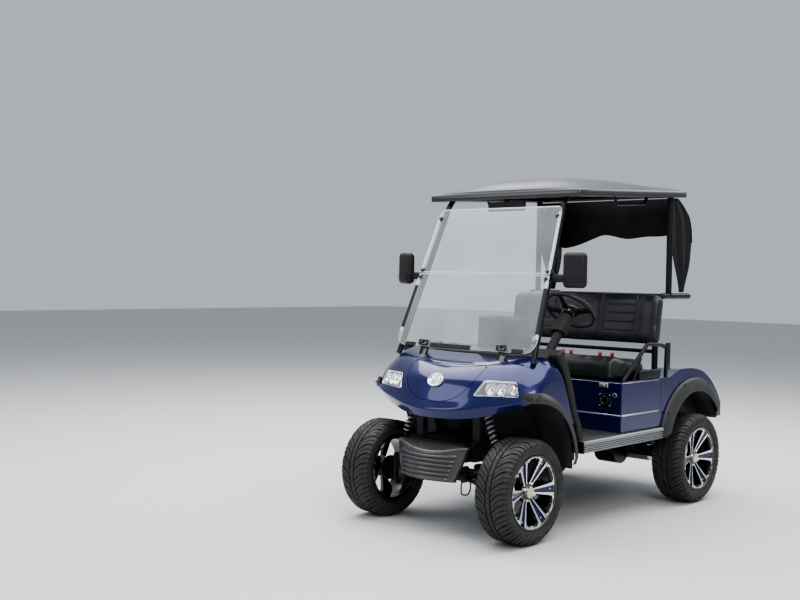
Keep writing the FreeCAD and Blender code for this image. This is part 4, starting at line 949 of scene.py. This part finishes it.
def front_bumper():
    """Skid plate with round beads that stop short of its ends; its top edge rises toward the ends."""
    low, high = 0.300, 0.474
    steps, columns, beads = 24, 32, 6

    def face(along, share):
        """A point on the plate: along runs across it from -1 to 1, share up it from 0 to 1."""
        half = 0.190 + 0.060 * share
        corner, middle = -0.196 + 0.044 * share, -0.248 + 0.026 * share
        lift = 0.016 * ease(0.40, 0.95, abs(along)) - 0.012 * bell(along, 0.5)
        return at(along * half, corner + (middle - corner) * (1 - along * along) + 0.0055,
                  low + (high - low) * share + lift * ease(0.6, 1, share))

    bm = bmesh.new()
    sections = []
    for share in shares(steps):
        tuck = Y_AXIS * 0.010 * (max(0, 1 - share / 0.08) ** 2 + max(0, (share - 0.93) / 0.07) ** 2)
        line = [face(-1 + 2 * along, share) + tuck for along in shares(columns)]
        sections.append(line + [line[-1] + Vector((0.001, 0.005, 0)), line[-1] + Y_AXIS * 0.022,
                                line[0] + Y_AXIS * 0.022, line[0] + Vector((-0.001, 0.005, 0))])
    solid_skin(bm, sections)
    for k in range(beads):
        share = 0.09 + 0.137 * k
        reach = 0.76 + 0.05 * share
        path = [face(reach * (-1 + 2 * along), share) - Y_AXIS * 0.0015 for along in shares(24)]
        path = [path[0] + Vector((-0.006, 0.012, 0)), *path, path[-1] + Vector((0.006, 0.012, 0))]
        tube(bm, path, 0.0086, 12)
    for x in (-0.12, 0.12):
        block(bm, at(x - 0.015, -0.205, 0.42), at(x + 0.015, -0.11, 0.46), 0.003)
    piece("bumper_skid", bm, BUMPER_PLASTIC, replaces=["front_bumper"], angle=50)


def front_suspension():
    """Cross member behind the skid plate, with a tubular upper and lower wishbone to each kingpin."""
    bm = bmesh.new()
    low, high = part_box("front_axle")
    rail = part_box("frame_rails")[0].z
    block(bm, at(-0.168, -0.080, rail - 0.046), at(0.168, 0.062, rail), 0.008, 3)
    pin_low, pin_high = low.z + 0.012, high.z - 0.037
    tip = high.x - 0.004
    for side in (1, -1):
        for pin, inner, radius in ((pin_low, rail - 0.036, 0.0115), (pin_high, pin_high - 0.006, 0.0095)):
            for station in (-0.064, 0.050):
                arm = [at(side * 0.160, station, inner), at(side * 0.215, station * 0.95, inner),
                       at(side * (tip - 0.012), math.copysign(0.006, station), pin + 0.002)]
                tube(bm, rounded_path(arm, 0.05), radius)
                lathe(bm, [(-0.018, POLE), (-0.018, 0.017), (0.018, 0.017), (0.018, POLE)],
                      at(side * 0.168, station, inner), Y_AXIS, 20)
            lathe(bm, [(-0.010, POLE), (-0.010, 0.019), (-0.004, 0.021), (0.006, 0.021), (0.010, 0.018),
                       (0.010, POLE)], at(side * (tip - 0.020), 0, pin), Z_AXIS, 24)
        # Loop that hangs beside the skid plate
        loop = [at(side * 0.214, station, z) for station, z in (
            (-0.112, 0.345), (-0.150, 0.300), (-0.150, 0.236), (-0.092, 0.226), (-0.072, 0.250),
            (-0.070, 0.300))]
        tube(bm, rounded_path(loop, 0.018), 0.0042, 10)
    piece("front_wishbones", bm, COAT, replaces=["front_axle"])


def side_steps():
    """Ribbed extrusions below the door openings, with a bright strip along the top and shade painted
    black into the grooves.
    """
    low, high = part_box("side_steps")
    x0, x1, z0, z1 = 0.545, high.x, low.z, high.z
    strip, groove_depth, ribs = 0.019, 0.007, 4
    outline = [(x0, z0), (x1 - 0.012, z0), (x1 - 0.003, z0 + 0.004)]
    pitch = (z1 - strip - z0 - 0.006) / ribs
    for k in range(ribs):
        foot = z0 + 0.006 + pitch * k
        outline += [(x1 - 0.001, foot), (x1 - 0.001, foot + pitch * 0.42),
                    (x1 - groove_depth, foot + pitch * 0.50), (x1 - groove_depth, foot + pitch * 0.94)]
    outline += [(x1, z1 - strip), (x1, z1 - 0.004), (x1 - 0.005, z1), (x0, z1)]
    bm = bmesh.new()
    slab(bm, [Vector((x, low.y, z)) for x, z in outline], Y_AXIS * (high.y - low.y))
    # Groove floors take gloss black: painted shade in the grooves, darker than the ribs' alloy
    for face in bm.faces:
        if x0 + 0.02 < face.calc_center_median().x < x1 - groove_depth * 0.9 and abs(face.normal.x) > 0.7:
            face.material_index = 1
    made = piece("step_boards", bm, [STEP_ALLOY, GLOSS_BLACK],
                 replaces=["side_steps"], angle=30, mirror=True)
    round_edges(made, 0.0008, angle_limit=math.radians(40))
    bm = bmesh.new()
    for y in (low.y, high.y - 0.008):
        block(bm, (x0 + 0.002, y, z0 + 0.001), (x1 - 0.0005, y + 0.008, z1 - 0.001), 0.002)
    piece("step_caps", bm, PLASTIC, mirror=True)


def pod_details():
    """Latch, charge socket, button, the bright trim line on the seat pod and a bright strip painted under
    its top edge as a highlight.
    """
    low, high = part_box("seat_pod")
    front, side = low.y, high.x
    bm = bmesh.new()
    # The lower line is the pod's trim; the upper one, just under the pod's top edge, is a painted
    # highlight of that edge
    for foot, top, start in ((0.606, 0.6145, 0.27), (0.7975, 0.8005, -0.50)):
        path = [(side + 0.0012, front + 0.43), (side + 0.0012, front + 0.012),
                (side - 0.0022, front + 0.0026), (side - 0.012, front - 0.0012), (start, front - 0.0012)]
        skin(bm, [[Vector((x, y, z)) for x, y in path] for z in (foot, top)])
    with_modifier(piece("pod_line_and_painted_highlight", bm, BRIGHT_TRIM), "SOLIDIFY", thickness=0.0012, offset=0.0)
    bright, dark = bmesh.new(), bmesh.new()

    def boss(bm, x, z, profile, segments):
        """A round part on the pod's front."""
        lathe(bm, profile, Vector((x, front, z)), -Y_AXIS, segments)

    block(bright, (0.424, front - 0.007, 0.769), (0.484, front + 0.002, 0.796), 0.004, 3)
    block(bright, (0.434, front - 0.013, 0.774), (0.466, front - 0.005, 0.791), 0.003, 3)
    for z in (0.664, 0.726):
        for x in (0.433, 0.499):
            boss(bright, x, z, [(-0.002, 0.0036), (0.008, 0.0036), (0.009, 0.0024), (0.0091, POLE)], 12)
    boss(bright, 0.531, 0.728, [(-0.002, 0.0135), (0.0045, 0.013), (0.0055, 0.011), (0.0045, 0.0095)], 28)
    piece("pod_bright_parts", bright, BRIGHT_TRIM)
    block(dark, (0.425, front - 0.007, 0.656), (0.507, front + 0.001, 0.734), 0.006, 3)
    boss(dark, 0.466, 0.695, [(0.006, 0.027), (0.012, 0.0265), (0.0135, 0.024), (0.010, 0.0215),
                              (0.0085, 0.0205), (0.0085, POLE)], 32)
    boss(dark, 0.531, 0.728, [(0.0, 0.0095), (0.0065, 0.009), (0.0075, 0.007), (0.0076, POLE)], 24)
    piece("pod_sockets", dark, GLOSS_BLACK)


def armrest_pads():
    """A low bolster beside the cushion's rear and a plate at each end of the seat back."""
    bm = bmesh.new()
    block(bm, at(0.5475, 1.060, 0.8085), at(0.5745, 1.315, 0.864), 0.010, 4)
    block(bm, at(0.566, 1.372, 0.850), at(0.575, 1.424, 1.020), 0.004, 3)
    piece("armrest_pads", bm, COAT, mirror=True)


# Seats
CLOTH_FRAMES = 20


def pad_shape(low, high, profile, side_round, least, columns=28):
    """A closed cushion from its side outline, rounded toward its ends, where it keeps a least size."""
    bm = bmesh.new()
    sections = []
    centre_y, centre_z = (sum(values) / len(profile) for values in zip(*profile))
    for share in shares(columns):
        x = low + (high - low) * share
        near = min(x - low, high - x)
        size = math.sqrt(max(0.0, 1 - (1 - min(near / side_round, 1.0)) ** 2))
        size = least + (1 - least) * size
        sections.append([Vector((x, centre_y + (y - centre_y) * size, centre_z + (z - centre_z) * size))
                         for y, z in profile])
    solid_skin(bm, sections)
    bmesh.ops.recalc_face_normals(bm, faces=bm.faces[:])
    return bm


def spline_loop(points, steps=4):
    """A smooth closed line through points."""
    count = len(points)
    line = []
    for i in range(count):
        p0, p1, p2, p3 = (Vector(points[(i + k - 1) % count]) for k in range(4))
        for t in (k / steps for k in range(steps)):
            line.append(tuple(0.5 * (2 * p1 + (p2 - p0) * t + (2 * p0 - 5 * p1 + 4 * p2 - p3) * t * t
                                     + (3 * p1 - p0 - 3 * p2 + p3) * t ** 3)))
    return line


def inflate(made, limit):
    """Swells a cushion as cloth, then keeps each point within a limit of where it began."""
    with_modifier(made, "REMESH", mode="VOXEL", voxel_size=0.008, use_smooth_shade=True)
    settle(made)
    start = [vert.co.copy() for vert in made.data.vertices]
    cloth = made.modifiers.new("Cloth", "CLOTH")
    rules = cloth.settings
    rules.use_pressure, rules.uniform_pressure_force = True, 4.0
    rules.effector_weights.gravity = 0
    rules.quality, rules.tension_stiffness, rules.bending_stiffness = 4, 25, 2
    cloth.point_cache.frame_start, cloth.point_cache.frame_end = 1, CLOTH_FRAMES
    for number in range(1, CLOTH_FRAMES + 1):
        bpy.context.scene.frame_set(number)
    settle(made)
    bpy.context.scene.frame_set(1)
    for vert, before in zip(made.data.vertices, start):
        moved = vert.co - before
        if moved.length > limit:
            vert.co = before + moved * (limit / moved.length)
    bm = bmesh.new()
    bm.from_mesh(made.data)
    for _ in range(6):
        bmesh.ops.smooth_vert(bm, verts=bm.verts[:], factor=0.5, use_axis_x=True, use_axis_y=True,
                              use_axis_z=True)
    bm.to_mesh(made.data)
    bm.free()
    with_modifier(made, "SUBSURF", levels=1, render_levels=1)
    settle(made)


def groove(distance, width, depth):
    return -depth * bell(distance, width)


def press(made, depth_at, low, high, spare):
    """Moves each point along its own normal by depth_at(place, normal), and keeps it in a box."""
    normals = [vert.normal.copy() for vert in made.data.vertices]
    for vert, normal in zip(made.data.vertices, normals):
        vert.co += normal * depth_at(vert.co, normal)
        for axis in range(3):
            vert.co[axis] = min(max(vert.co[axis], low[axis] - spare), high[axis] + spare)
    made.data.update()


def seat_cushion():
    """One bench cushion with a rolled front edge, two dished places and sewn panels."""
    low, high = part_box("seat_cushion")
    y0, y1, z0, z1 = low.y + 0.010, high.y - 0.004, low.z + 0.006, high.z + 0.004
    tall = z1 - z0
    profile = spline_loop([
        (y0 + 0.010, z0 + 0.004), (y0, z0 + tall * 0.45), (y0 + 0.012, z0 + tall * 0.82),
        (y0 + 0.055, z1), (y0 + 0.16, z1 - 0.014), (y1 - 0.08, z1 - 0.026), (y1 - 0.01, z0 + tall * 0.66),
        (y1, z0 + tall * 0.4), (y1 - 0.012, z0 + 0.004), (y1 - 0.12, z0), (y0 + 0.12, z0)])
    bm = pad_shape(low.x - 0.014, high.x + 0.014, profile, 0.060, 0.64)
    made = piece("bench_cushion", bm, VINYL, "seat", ["seat_cushion"], angle=None)
    inflate(made, 0.011)
    front = low.y

    def shape(spot, normal):
        x, y, z = spot
        move = 0.0
        if z > z0 + 0.02:
            rise = max(normal.z, 0.0)
            for seat in (-0.27, 0.27):
                move -= 0.010 * rise * bell(x - seat, 0.14) * bell(y - (front + 0.24), 0.14)
            for seam in (-0.115, 0.115):
                move += groove(x - seam, 0.0060, 0.0030) * ease(front, front + 0.03, y)
            for seam in (0.115, 0.335):
                move += groove(y - front - seam, 0.0055, 0.0030) * ease(0.05, 0.4, rise)
            inside = 1 - ease(0.155, 0.165, abs(abs(x) - 0.29))
            for k in range(3):
                move += groove(y - (front + 0.17 + 0.055 * k), 0.0045, 0.0030) * inside * rise
        return move + groove(z - (z0 + 0.030), 0.0045, 0.0025)

    press(made, shape, low - X_AXIS * 0.010, high + X_AXIS * 0.010, 0.012)


def seat_back():
    """One wide padded back with ribbed panels either side of a plain middle."""
    low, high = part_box("seat_back")
    lean = 0.040
    y0, y1, z0, z1 = low.y + 0.006, low.y + 0.076, low.z - 0.010, high.z + 0.008
    profile = spline_loop([
        (y0 + 0.012, z0 + 0.006), (y0, z0 + 0.035), (y0 + 0.012, z0 + 0.13),
        (y0 + lean * 0.8, z1 - 0.05), (y0 + lean + 0.012, z1 - 0.006), (y0 + lean + 0.035, z1),
        (y1 + lean - 0.010, z1 - 0.008), (y1 + lean - 0.004, z1 - 0.05), (y1 + 0.014, z0 + 0.14),
        (y1, z0 + 0.03), (y1 - 0.010, z0 + 0.004)])
    bm = pad_shape(low.x - 0.008, high.x + 0.008, profile, 0.040, 0.84)
    long_edges = [edge for edge in bm.edges if abs((edge.verts[0].co - edge.verts[1].co).x) > 0.02]
    bmesh.ops.subdivide_edges(bm, edges=long_edges, cuts=1)
    for vert in bm.verts:
        share = abs(vert.co.x) / high.x
        upper = ease(z0 + 0.16, z1, vert.co.z)
        vert.co.z -= upper * (0.016 * bell(vert.co.x, 0.13) + 0.012 * ease(0.70, 1.02, share))
        vert.co.y += 0.014 * ease(0.62, 1.0, share)
    made = piece("bench_back", bm, VINYL, "chassis", ["seat_back"], angle=None)
    inflate(made, 0.010)

    def shape(spot, normal):
        x, y, z = spot
        facing = ease(0.1, 0.6, -normal.y)
        wide = abs(x)
        move = 0.006 * bell(wide, 0.13)
        move += groove(wide - 0.150, 0.012, 0.004) + groove(wide - 0.455, 0.020, 0.003)
        for seam in (0.190, 0.412):
            move += groove(wide - seam + 0.014 * ease(z1, z0, z), 0.0060, 0.0035)
        inside = ease(0.185, 0.195, wide) * (1 - ease(0.402, 0.412, wide))
        for k in range(4):
            move += groove(z - (z0 + 0.085 + 0.055 * k), 0.0040, 0.0026) * inside
        edge_seam = groove(y - (low.y + 0.080 + 0.12 * (z - z0)), 0.0045, 0.003)
        return move * facing + edge_seam * (1 - ease(0.44, 0.49, wide))

    press(made, shape, low, high, 0.024)


# Canvas over the bag rack

def bag_cover():
    """A black canvas hung from the roof's rear edge: gathered side curtains and a rear valance."""
    low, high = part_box("bag_cover")
    half = high.x - 0.004
    top, foot = roof_line(1.59) - 0.004, low.z - 0.022
    # Station and drop below the roof: the rear edge of the cover, then the curtain's front edge
    rear = [(1.592, 0), (1.655, 0.028), (1.720, 0.075), (1.768, 0.135), (1.790, 0.215), (1.796, 0.300),
            (1.788, 0.385), (1.762, 0.470), (1.730, 0.535), (1.712, top - foot - 0.002)]
    front = [(1.516, 0.006), (1.512, 0.050), (1.512, 0.110), (1.514, 0.170), (1.520, 0.240),
             (1.534, 0.310), (1.566, 0.390), (1.608, 0.470), (1.638, 0.535), (1.656, top - foot - 0.002)]
    folds, columns = 16, 40

    def curtain(side):
        lines = []
        for share in shares(folds):
            line = []
            for level, (a, b) in enumerate(zip(front, rear)):
                down = level / (len(rear) - 1)
                ripple = math.sin(share * math.pi * 4.4 + 0.6) * (0.004 + 0.008 * down)
                ripple *= math.sin(math.pi * share) ** 0.5
                ripple += 0.004 * noise.noise(Vector((share * 4, down * 3, side * 2.0)))
                x = side * (half - 0.012 - 0.014 * down + ripple)
                line.append(at(x, a[0] + (b[0] - a[0]) * share, top - a[1] - (b[1] - a[1]) * share))
            lines.append(line)
        return lines

    def valance():
        lines = []
        for share in shares(columns):
            edge = min(share, 1 - share) * 2
            sag = 0.018 * math.sin(math.pi * share) ** 0.5
            wave = 0.012 * math.sin(share * 9.5 + 0.8) + 0.006 * math.sin(share * 23)
            hang = 0.74 + 0.26 * max(0, 1 - edge / 0.08, ease(0.64, 0.92, share))
            line = []
            for level, (station, drop) in enumerate(rear[:6]):
                down = level / 5
                ripple = 0.005 * down * math.sin(share * 37 + 1.1)
                ripple += 0.004 * noise.noise(Vector((share * 6, down * 2, 5)))
                z = top - drop * hang - sag * 0.4 * down + wave * down ** 2 * min(1, edge * 6)
                back = station - 0.006 * down + ripple - 0.010 * sag
                line.append(at((half - 0.012) * (1 - 2 * share), back, z))
            lines.append(line)
        return lines

    bm = bmesh.new()
    for lines in (curtain(1), valance(), curtain(-1)):
        skin(bm, lines)
    bmesh.ops.remove_doubles(bm, verts=bm.verts[:], dist=0.004)
    bmesh.ops.recalc_face_normals(bm, faces=bm.faces[:])
    made = piece("rack_canvas", bm, CANVAS, "chassis", ["bag_cover"], angle=None,
                 tidy=False)
    with_modifier(made, "SUBSURF", levels=2, render_levels=2)
    settle(made)
    for vert in made.data.vertices:
        wrinkle = noise.noise(vert.co * 9.0) * 0.004 + noise.noise(vert.co * 24.0) * 0.0014
        vert.co.y += wrinkle
        vert.co.x -= math.copysign(abs(wrinkle) * 0.6, vert.co.x)
    area = sum(face.area for face in made.data.polygons)
    with_modifier(made, "SOLIDIFY", thickness=0.0015, offset=0.0)
    return made, area


# Controls and small pieces

def steering_wheel():
    """Padded rim, three spokes and a round centre pad."""
    low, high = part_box("steering_wheel")
    hub = (low + high) / 2
    lean = math.radians(50)
    down = Vector((0, -math.cos(lean), -math.sin(lean)))
    up = -down.cross(X_AXIS)
    rim_line, grip, body, slot = (high.x - low.x) / 2 - 0.014, 0.0135, "steering_wheel", "wheel_grip"

    def way(turn):
        return X_AXIS * math.cos(turn) + up * math.sin(turn)

    bm = bmesh.new()
    sections = []
    for out in (way(2 * math.pi * k / 48) for k in range(48)):
        sections.append([hub + out * rim_line + (out * math.cos(t) - down * math.sin(t)) * grip
                         for t in (2 * math.pi * i / 14 for i in range(14))])
    skin(bm, sections, closed=True)
    bmesh.ops.bridge_loops(bm, edges=[edge for edge in bm.edges if edge.is_boundary])
    piece("wheel_rim_grip", bm, VINYL, body, ["steering_wheel"], angle=60)
    bm = bmesh.new()
    for angle in (0, 180, 270):
        out = way(math.radians(angle))
        side = down.cross(out)
        sections = []
        for reach, half, thick, drop in (
                (0.03, 0.026, 0.008, 0.012), (0.07, 0.018, 0.007, 0.008), (0.115, 0.015, 0.007, 0.002),
                (rim_line - 0.006, 0.019, 0.008, 0.0)):
            centre = hub + out * reach + down * drop
            sections.append([centre + side * half * a + down * thick * b
                             for a, b in ((-1, -1), (1, -1), (1, 1), (-1, 1))])
        solid_skin(bm, sections)
    lathe(bm, [(0.056, POLE), (0.056, 0.040), (0.014, 0.043), (0.010, 0.058), (-0.002, 0.060),
               (-0.010, 0.052), (-0.013, 0.040), (-0.014, POLE)], hub, down, 40)
    round_edges(piece("wheel_centre", bm, GLOSS_BLACK, body), 0.002)
    bm = bmesh.new()
    lathe(bm, [(-0.0135, 0.030), (-0.0165, 0.029), (-0.017, 0.026), (-0.015, 0.0245)], hub, down, 36)
    piece("wheel_centre_ring", bm, CHROME, body)


def coil_springs():
    """Damper bodies with open coils on the front shocks."""
    coils, bodies = bmesh.new(), bmesh.new()
    turns, coil_radius = 6.5, 0.0215
    for side in (1, -1):
        top, foot = at(side * 0.258, 0.0, 0.682), at(side * 0.345, 0.0, 0.442)
        way = (foot - top).normalized()
        u = way.orthogonal().normalized()
        w = way.cross(u)
        path = []
        for share in shares(156):
            turn = 2 * math.pi * turns * share
            path.append(top + way * (0.018 + 0.175 * share)
                        + (u * math.cos(turn) + w * math.sin(turn)) * coil_radius)
        tube(coils, path, 0.0048, 8)
        lathe(bodies, [(-0.004, POLE), (-0.004, 0.022), (0.010, 0.027), (0.018, 0.027), (0.019, 0.014),
                       (0.150, 0.014), (0.190, 0.014), (0.191, 0.026), (0.200, 0.026), (0.204, 0.010),
                       (0.254, 0.010), (0.255, POLE)], top, way, 24)
        tube(bodies, [foot + Z_AXIS * 0.008, foot - Z_AXIS * 0.068], 0.011, 16)
    piece("shock_coils", coils, STEEL, angle=60)
    piece("shock_bodies", bodies, COAT, replaces=["front_shocks"])


def side_mirrors():
    """Rounded housings with a band across the back, a glass, and an arm to the strut."""
    bm, glass = bmesh.new(), bmesh.new()
    for side in (1, -1):
        middle = at(side * 0.616, 0.290, 1.45)
        turn = Matrix.Rotation(math.radians(20 * side), 3, "Z")
        shell = block(bm, (-0.065, -0.026, -0.096), (0.065, 0.026, 0.096), 0.023, 5)
        for vert in shell:
            if vert.co.y < 0:
                narrow = 1 - 0.9 * abs(vert.co.y)
                vert.co.x *= narrow
                vert.co.z *= narrow
        place(bm, shell, middle, turn)
        for back, z0, z1 in ((-0.0285, -0.045, -0.040), (-0.0280, -0.060, -0.056)):
            place(bm, block(bm, (-0.0655, back, z0), (0.0655, 0.020, z1), 0.001), middle, turn)
        pane_verts = block(glass, (-0.056, 0.0255, -0.086), (0.056, 0.0272, 0.086), 0.0006, 1)
        place(glass, pane_verts, middle, turn)
        # Arm, and the clamp on the strut
        x = side * 0.525
        block(bm, at(x - 0.058, 0.275, 1.383), at(x + 0.058, 0.303, 1.427), 0.009, 3)
        x = side * 0.465
        block(bm, at(x - 0.012, 0.273, 1.382), at(x + 0.012, 0.307, 1.442), 0.005, 3)
    piece("mirror_housings", bm, PLASTIC, replaces=["side_mirrors"])
    piece("mirror_glasses", glass, CHROME)


def bench_belts():
    """Buckles on stalks, the belts' ends and their red release buttons."""
    bm, red = bmesh.new(), bmesh.new()
    low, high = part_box("seat_belts")
    middle = (low.y + high.y) / 2

    def bar(bm, x, half_x, half_y, foot, top, bevel, segments=2):
        low, high = (x - half_x, middle - half_y, foot), (x + half_x, middle + half_y, top)
        block(bm, low, high, bevel, segments)

    for x in (-0.160, -0.098, 0.122, 0.212):
        bar(bm, x, 0.007, 0.003, low.z, low.z + 0.060, 0.002)
        bar(bm, x, 0.0115, 0.0065, low.z + 0.050, high.z - 0.026, 0.004, 3)
        bar(red, x, 0.0110, 0.0072, high.z - 0.030, high.z + 0.012, 0.003)
    piece("belt_buckles", bm, PLASTIC, replaces=["seat_belts"])
    piece("belt_buttons", red, BELT_RED)


def dashboard_details():
    """Display face, cup rings, panel, key switch and knobs on the dash."""
    bm, display, bright = bmesh.new(), bmesh.new(), bmesh.new()
    face = [at(x, y, z) for x, y, z in ((-0.045, 0.4415, 1.152), (0.215, 0.4415, 1.152),
                                        (0.215, 0.4095, 1.062), (-0.045, 0.4095, 1.062))]
    slab(display, face, Vector((0, 0.0012, -0.0004)))
    piece("display_glass", display, SCREEN, angle=30)
    for x in (-0.40, -0.29):
        lathe(bm, [(0.0, 0.046), (0.004, 0.047), (0.007, 0.044), (0.006, 0.040), (-0.004, 0.037),
                   (-0.006, POLE)], at(x, 0.330, CHIN + 0.3685), Vector((0, -0.145, 0.989)), 32)
    for x, radius in ((0.42, 0.013), (0.455, 0.009), (-0.12, 0.012)):
        lathe(bright, [(-0.004, radius), (0.003, radius), (0.005, radius * 0.8), (0.0052, POLE)],
              at(x, 0.4045, 0.985), Vector((0, 0.98, 0.16)), 20)
    block(bm, at(-0.46, 0.395, 0.905), at(-0.20, 0.4085, 0.955), 0.006, 3)
    piece("dash_fittings", bm, GLOSS_BLACK)
    piece("dash_switches", bright, CHROME)


def tail_lamps():
    bm = bmesh.new()
    low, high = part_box("tail_lamps")
    for side in (1, -1):
        x0, x1 = sorted((side * 0.437, side * high.x))
        block(bm, (x0, low.y, low.z), (x1, high.y, high.z), 0.006, 3)
    piece("tail_lenses", bm, RED_LENS, replaces=["tail_lamps"])


def arch_sheet(bm, centre, start, sweep, count, rows):
    """A sheet bent round an arch; rows are x and radius."""
    skin(bm, [[centre + X_AXIS * x + around(start + sweep * share) * radius for x, radius in rows]
              for share in shares(count)])


def wheel_houses():
    """Black liners inside the arches, and the painted walls of the bag well over the rear wheels."""
    bm = bmesh.new()
    arch_sheet(bm, FRONT_ARCH, -4, 100, 40,
               [(0.568, ARCH_RADIUS + 0.004), (0.50, ARCH_RADIUS + 0.004), (0.42, ARCH_RADIUS - 0.004),
                (0.375, ARCH_RADIUS - 0.03)])
    arch_sheet(bm, REAR_ARCH, -72, 140, 36,
               [(0.570, ARCH_RADIUS - 0.001), (0.50, ARCH_RADIUS - 0.003), (0.4285, ARCH_RADIUS - 0.004),
                (0.4280, 0.29), (0.4280, 0.17)])
    liners = piece("arch_liners", bm, RUBBER_TRIM, angle=50, mirror=True)
    with_modifier(liners, "SOLIDIFY", thickness=0.003, offset=-1.0)
    bm = bmesh.new()
    arch_sheet(bm, REAR_ARCH, -52, 104, 24, [(0.422, 0.24), (0.422, ARCH_RADIUS + 0.003)])
    walls = piece("well_walls", bm, BLUE, angle=50, mirror=True)
    with_modifier(walls, "SOLIDIFY", thickness=0.002, offset=0.0)


def carried_over():
    """Finishes for the construction pieces that keep their shape; a width rounds their edges."""
    for name, material, width in (
            ("seat_pod", BLUE, 0.008), ("dashboard", DASH_PLASTIC, 0.010), ("floor_board", MAT, 0.003),
            ("cowl_trims", PLASTIC, 0.012), ("pedals", GLOSS_BLACK, 0.003), ("frame_rails", COAT, 0.003),
            ("battery_pack", PLASTIC, 0.006), ("interior_mirror", PLASTIC, 0.004),
            ("rear_springs", COAT, 0.002), ("shock_towers", COAT, 0.002)):
        softened(name, material, width)
    softened("rear_body", BLUE, 0.012, ((1.48, 1.58, 0.022), (1.68, 2.02, 0.055), (2.03, 2.12, 0.030)))
    for material, names in ((COAT, ("bag_rack", "front_struts", "rear_axle", "rear_struts", "roof_frame",
                                    "roof_handles", "armrests", "knuckle_left", "knuckle_right")),
                            (STEEL, ("motor", "tie_rod")), (RUBBER_TRIM, ("steering_column",))):
        for name in names:
            wear(name, material)


# Room, lights and camera

def ground():
    bpy.ops.mesh.primitive_plane_add(size=60)
    floor = bpy.context.object
    floor.name = "floor"
    floor.data.materials.append(finish("pale_floor", (0.56, 0.56, 0.555), 0.75))


def lamp(name, spot, aim, energy, size, colour=(1, 1, 1)):
    data = bpy.data.lights.new(name, "AREA")
    data.shape, data.size, data.size_y = "RECTANGLE", *size
    data.energy, data.color = energy, colour
    made = bpy.data.objects.new(name, data)
    made.location = spot
    made.rotation_euler = (Vector(aim) - Vector(spot)).to_track_quat("-Z", "Y").to_euler()
    bpy.context.scene.collection.objects.link(made)


def studio():
    world = bpy.data.worlds.new("studio")
    world.use_nodes = True
    sky = world.node_tree.nodes["Background"].inputs
    sky["Color"].default_value, sky["Strength"].default_value = (0.80, 0.86, 0.95, 1), 0.55
    bpy.context.scene.world = world
    bpy.context.scene.view_settings.look = "AgX - Medium High Contrast"
    lamp("overhead", (-1.0, 0.3, 5.6), (-1.0, 0.3, 0), 900, (9.0, 8.0))
    lamp("key", (5.2, -4.6, 5.0), (0, 0, 0.9), 210, (2.6, 2.6), (1.0, 0.98, 0.94))
    lamp("front_fill", (-3.2, -6.0, 3.4), (0, 0, 0.8), 70, (3.0, 2.4), (0.92, 0.96, 1.0))
    lamp("rear_rim", (2.0, 5.5, 4.6), (0, 0, 1.0), 70, (3.0, 2.0))


def camera():
    """The photograph's view: placed from the front axle, three-quarter front left."""
    data = bpy.data.cameras.new("view")
    data.lens, data.sensor_width, data.clip_end = 48.82, 36, 200
    made = bpy.data.objects.new("view", data)
    yaw, pitch, roll = (math.radians(a) for a in (-42.774, -1.313, 1.024))
    forward = Vector((math.sin(yaw) * math.cos(pitch), math.cos(yaw) * math.cos(pitch), math.sin(pitch)))
    level = forward.cross(Z_AXIS).normalized()
    upright = level.cross(forward)
    right = level * math.cos(roll) + upright * math.sin(roll)
    up = upright * math.cos(roll) - level * math.sin(roll)
    made.matrix_world = Matrix((right, up, -forward)).transposed().to_4x4()
    made.location = at(3.8927, -4.6354, 1.4071)
    bpy.context.scene.collection.objects.link(made)
    bpy.context.scene.camera = made


for build in (carried_over, front_cowl, headlamps, badge, windshield, wheels, roof, flares, front_bumper,
              front_suspension, side_steps, pod_details, armrest_pads, seat_cushion, seat_back):
    build()
canvas_piece, canvas_area = bag_cover()
for build in (steering_wheel, coil_springs, side_mirrors, bench_belts, dashboard_details, tail_lamps,
              wheel_houses, ground, studio, camera):
    build()

bpy.context.view_layer.update()
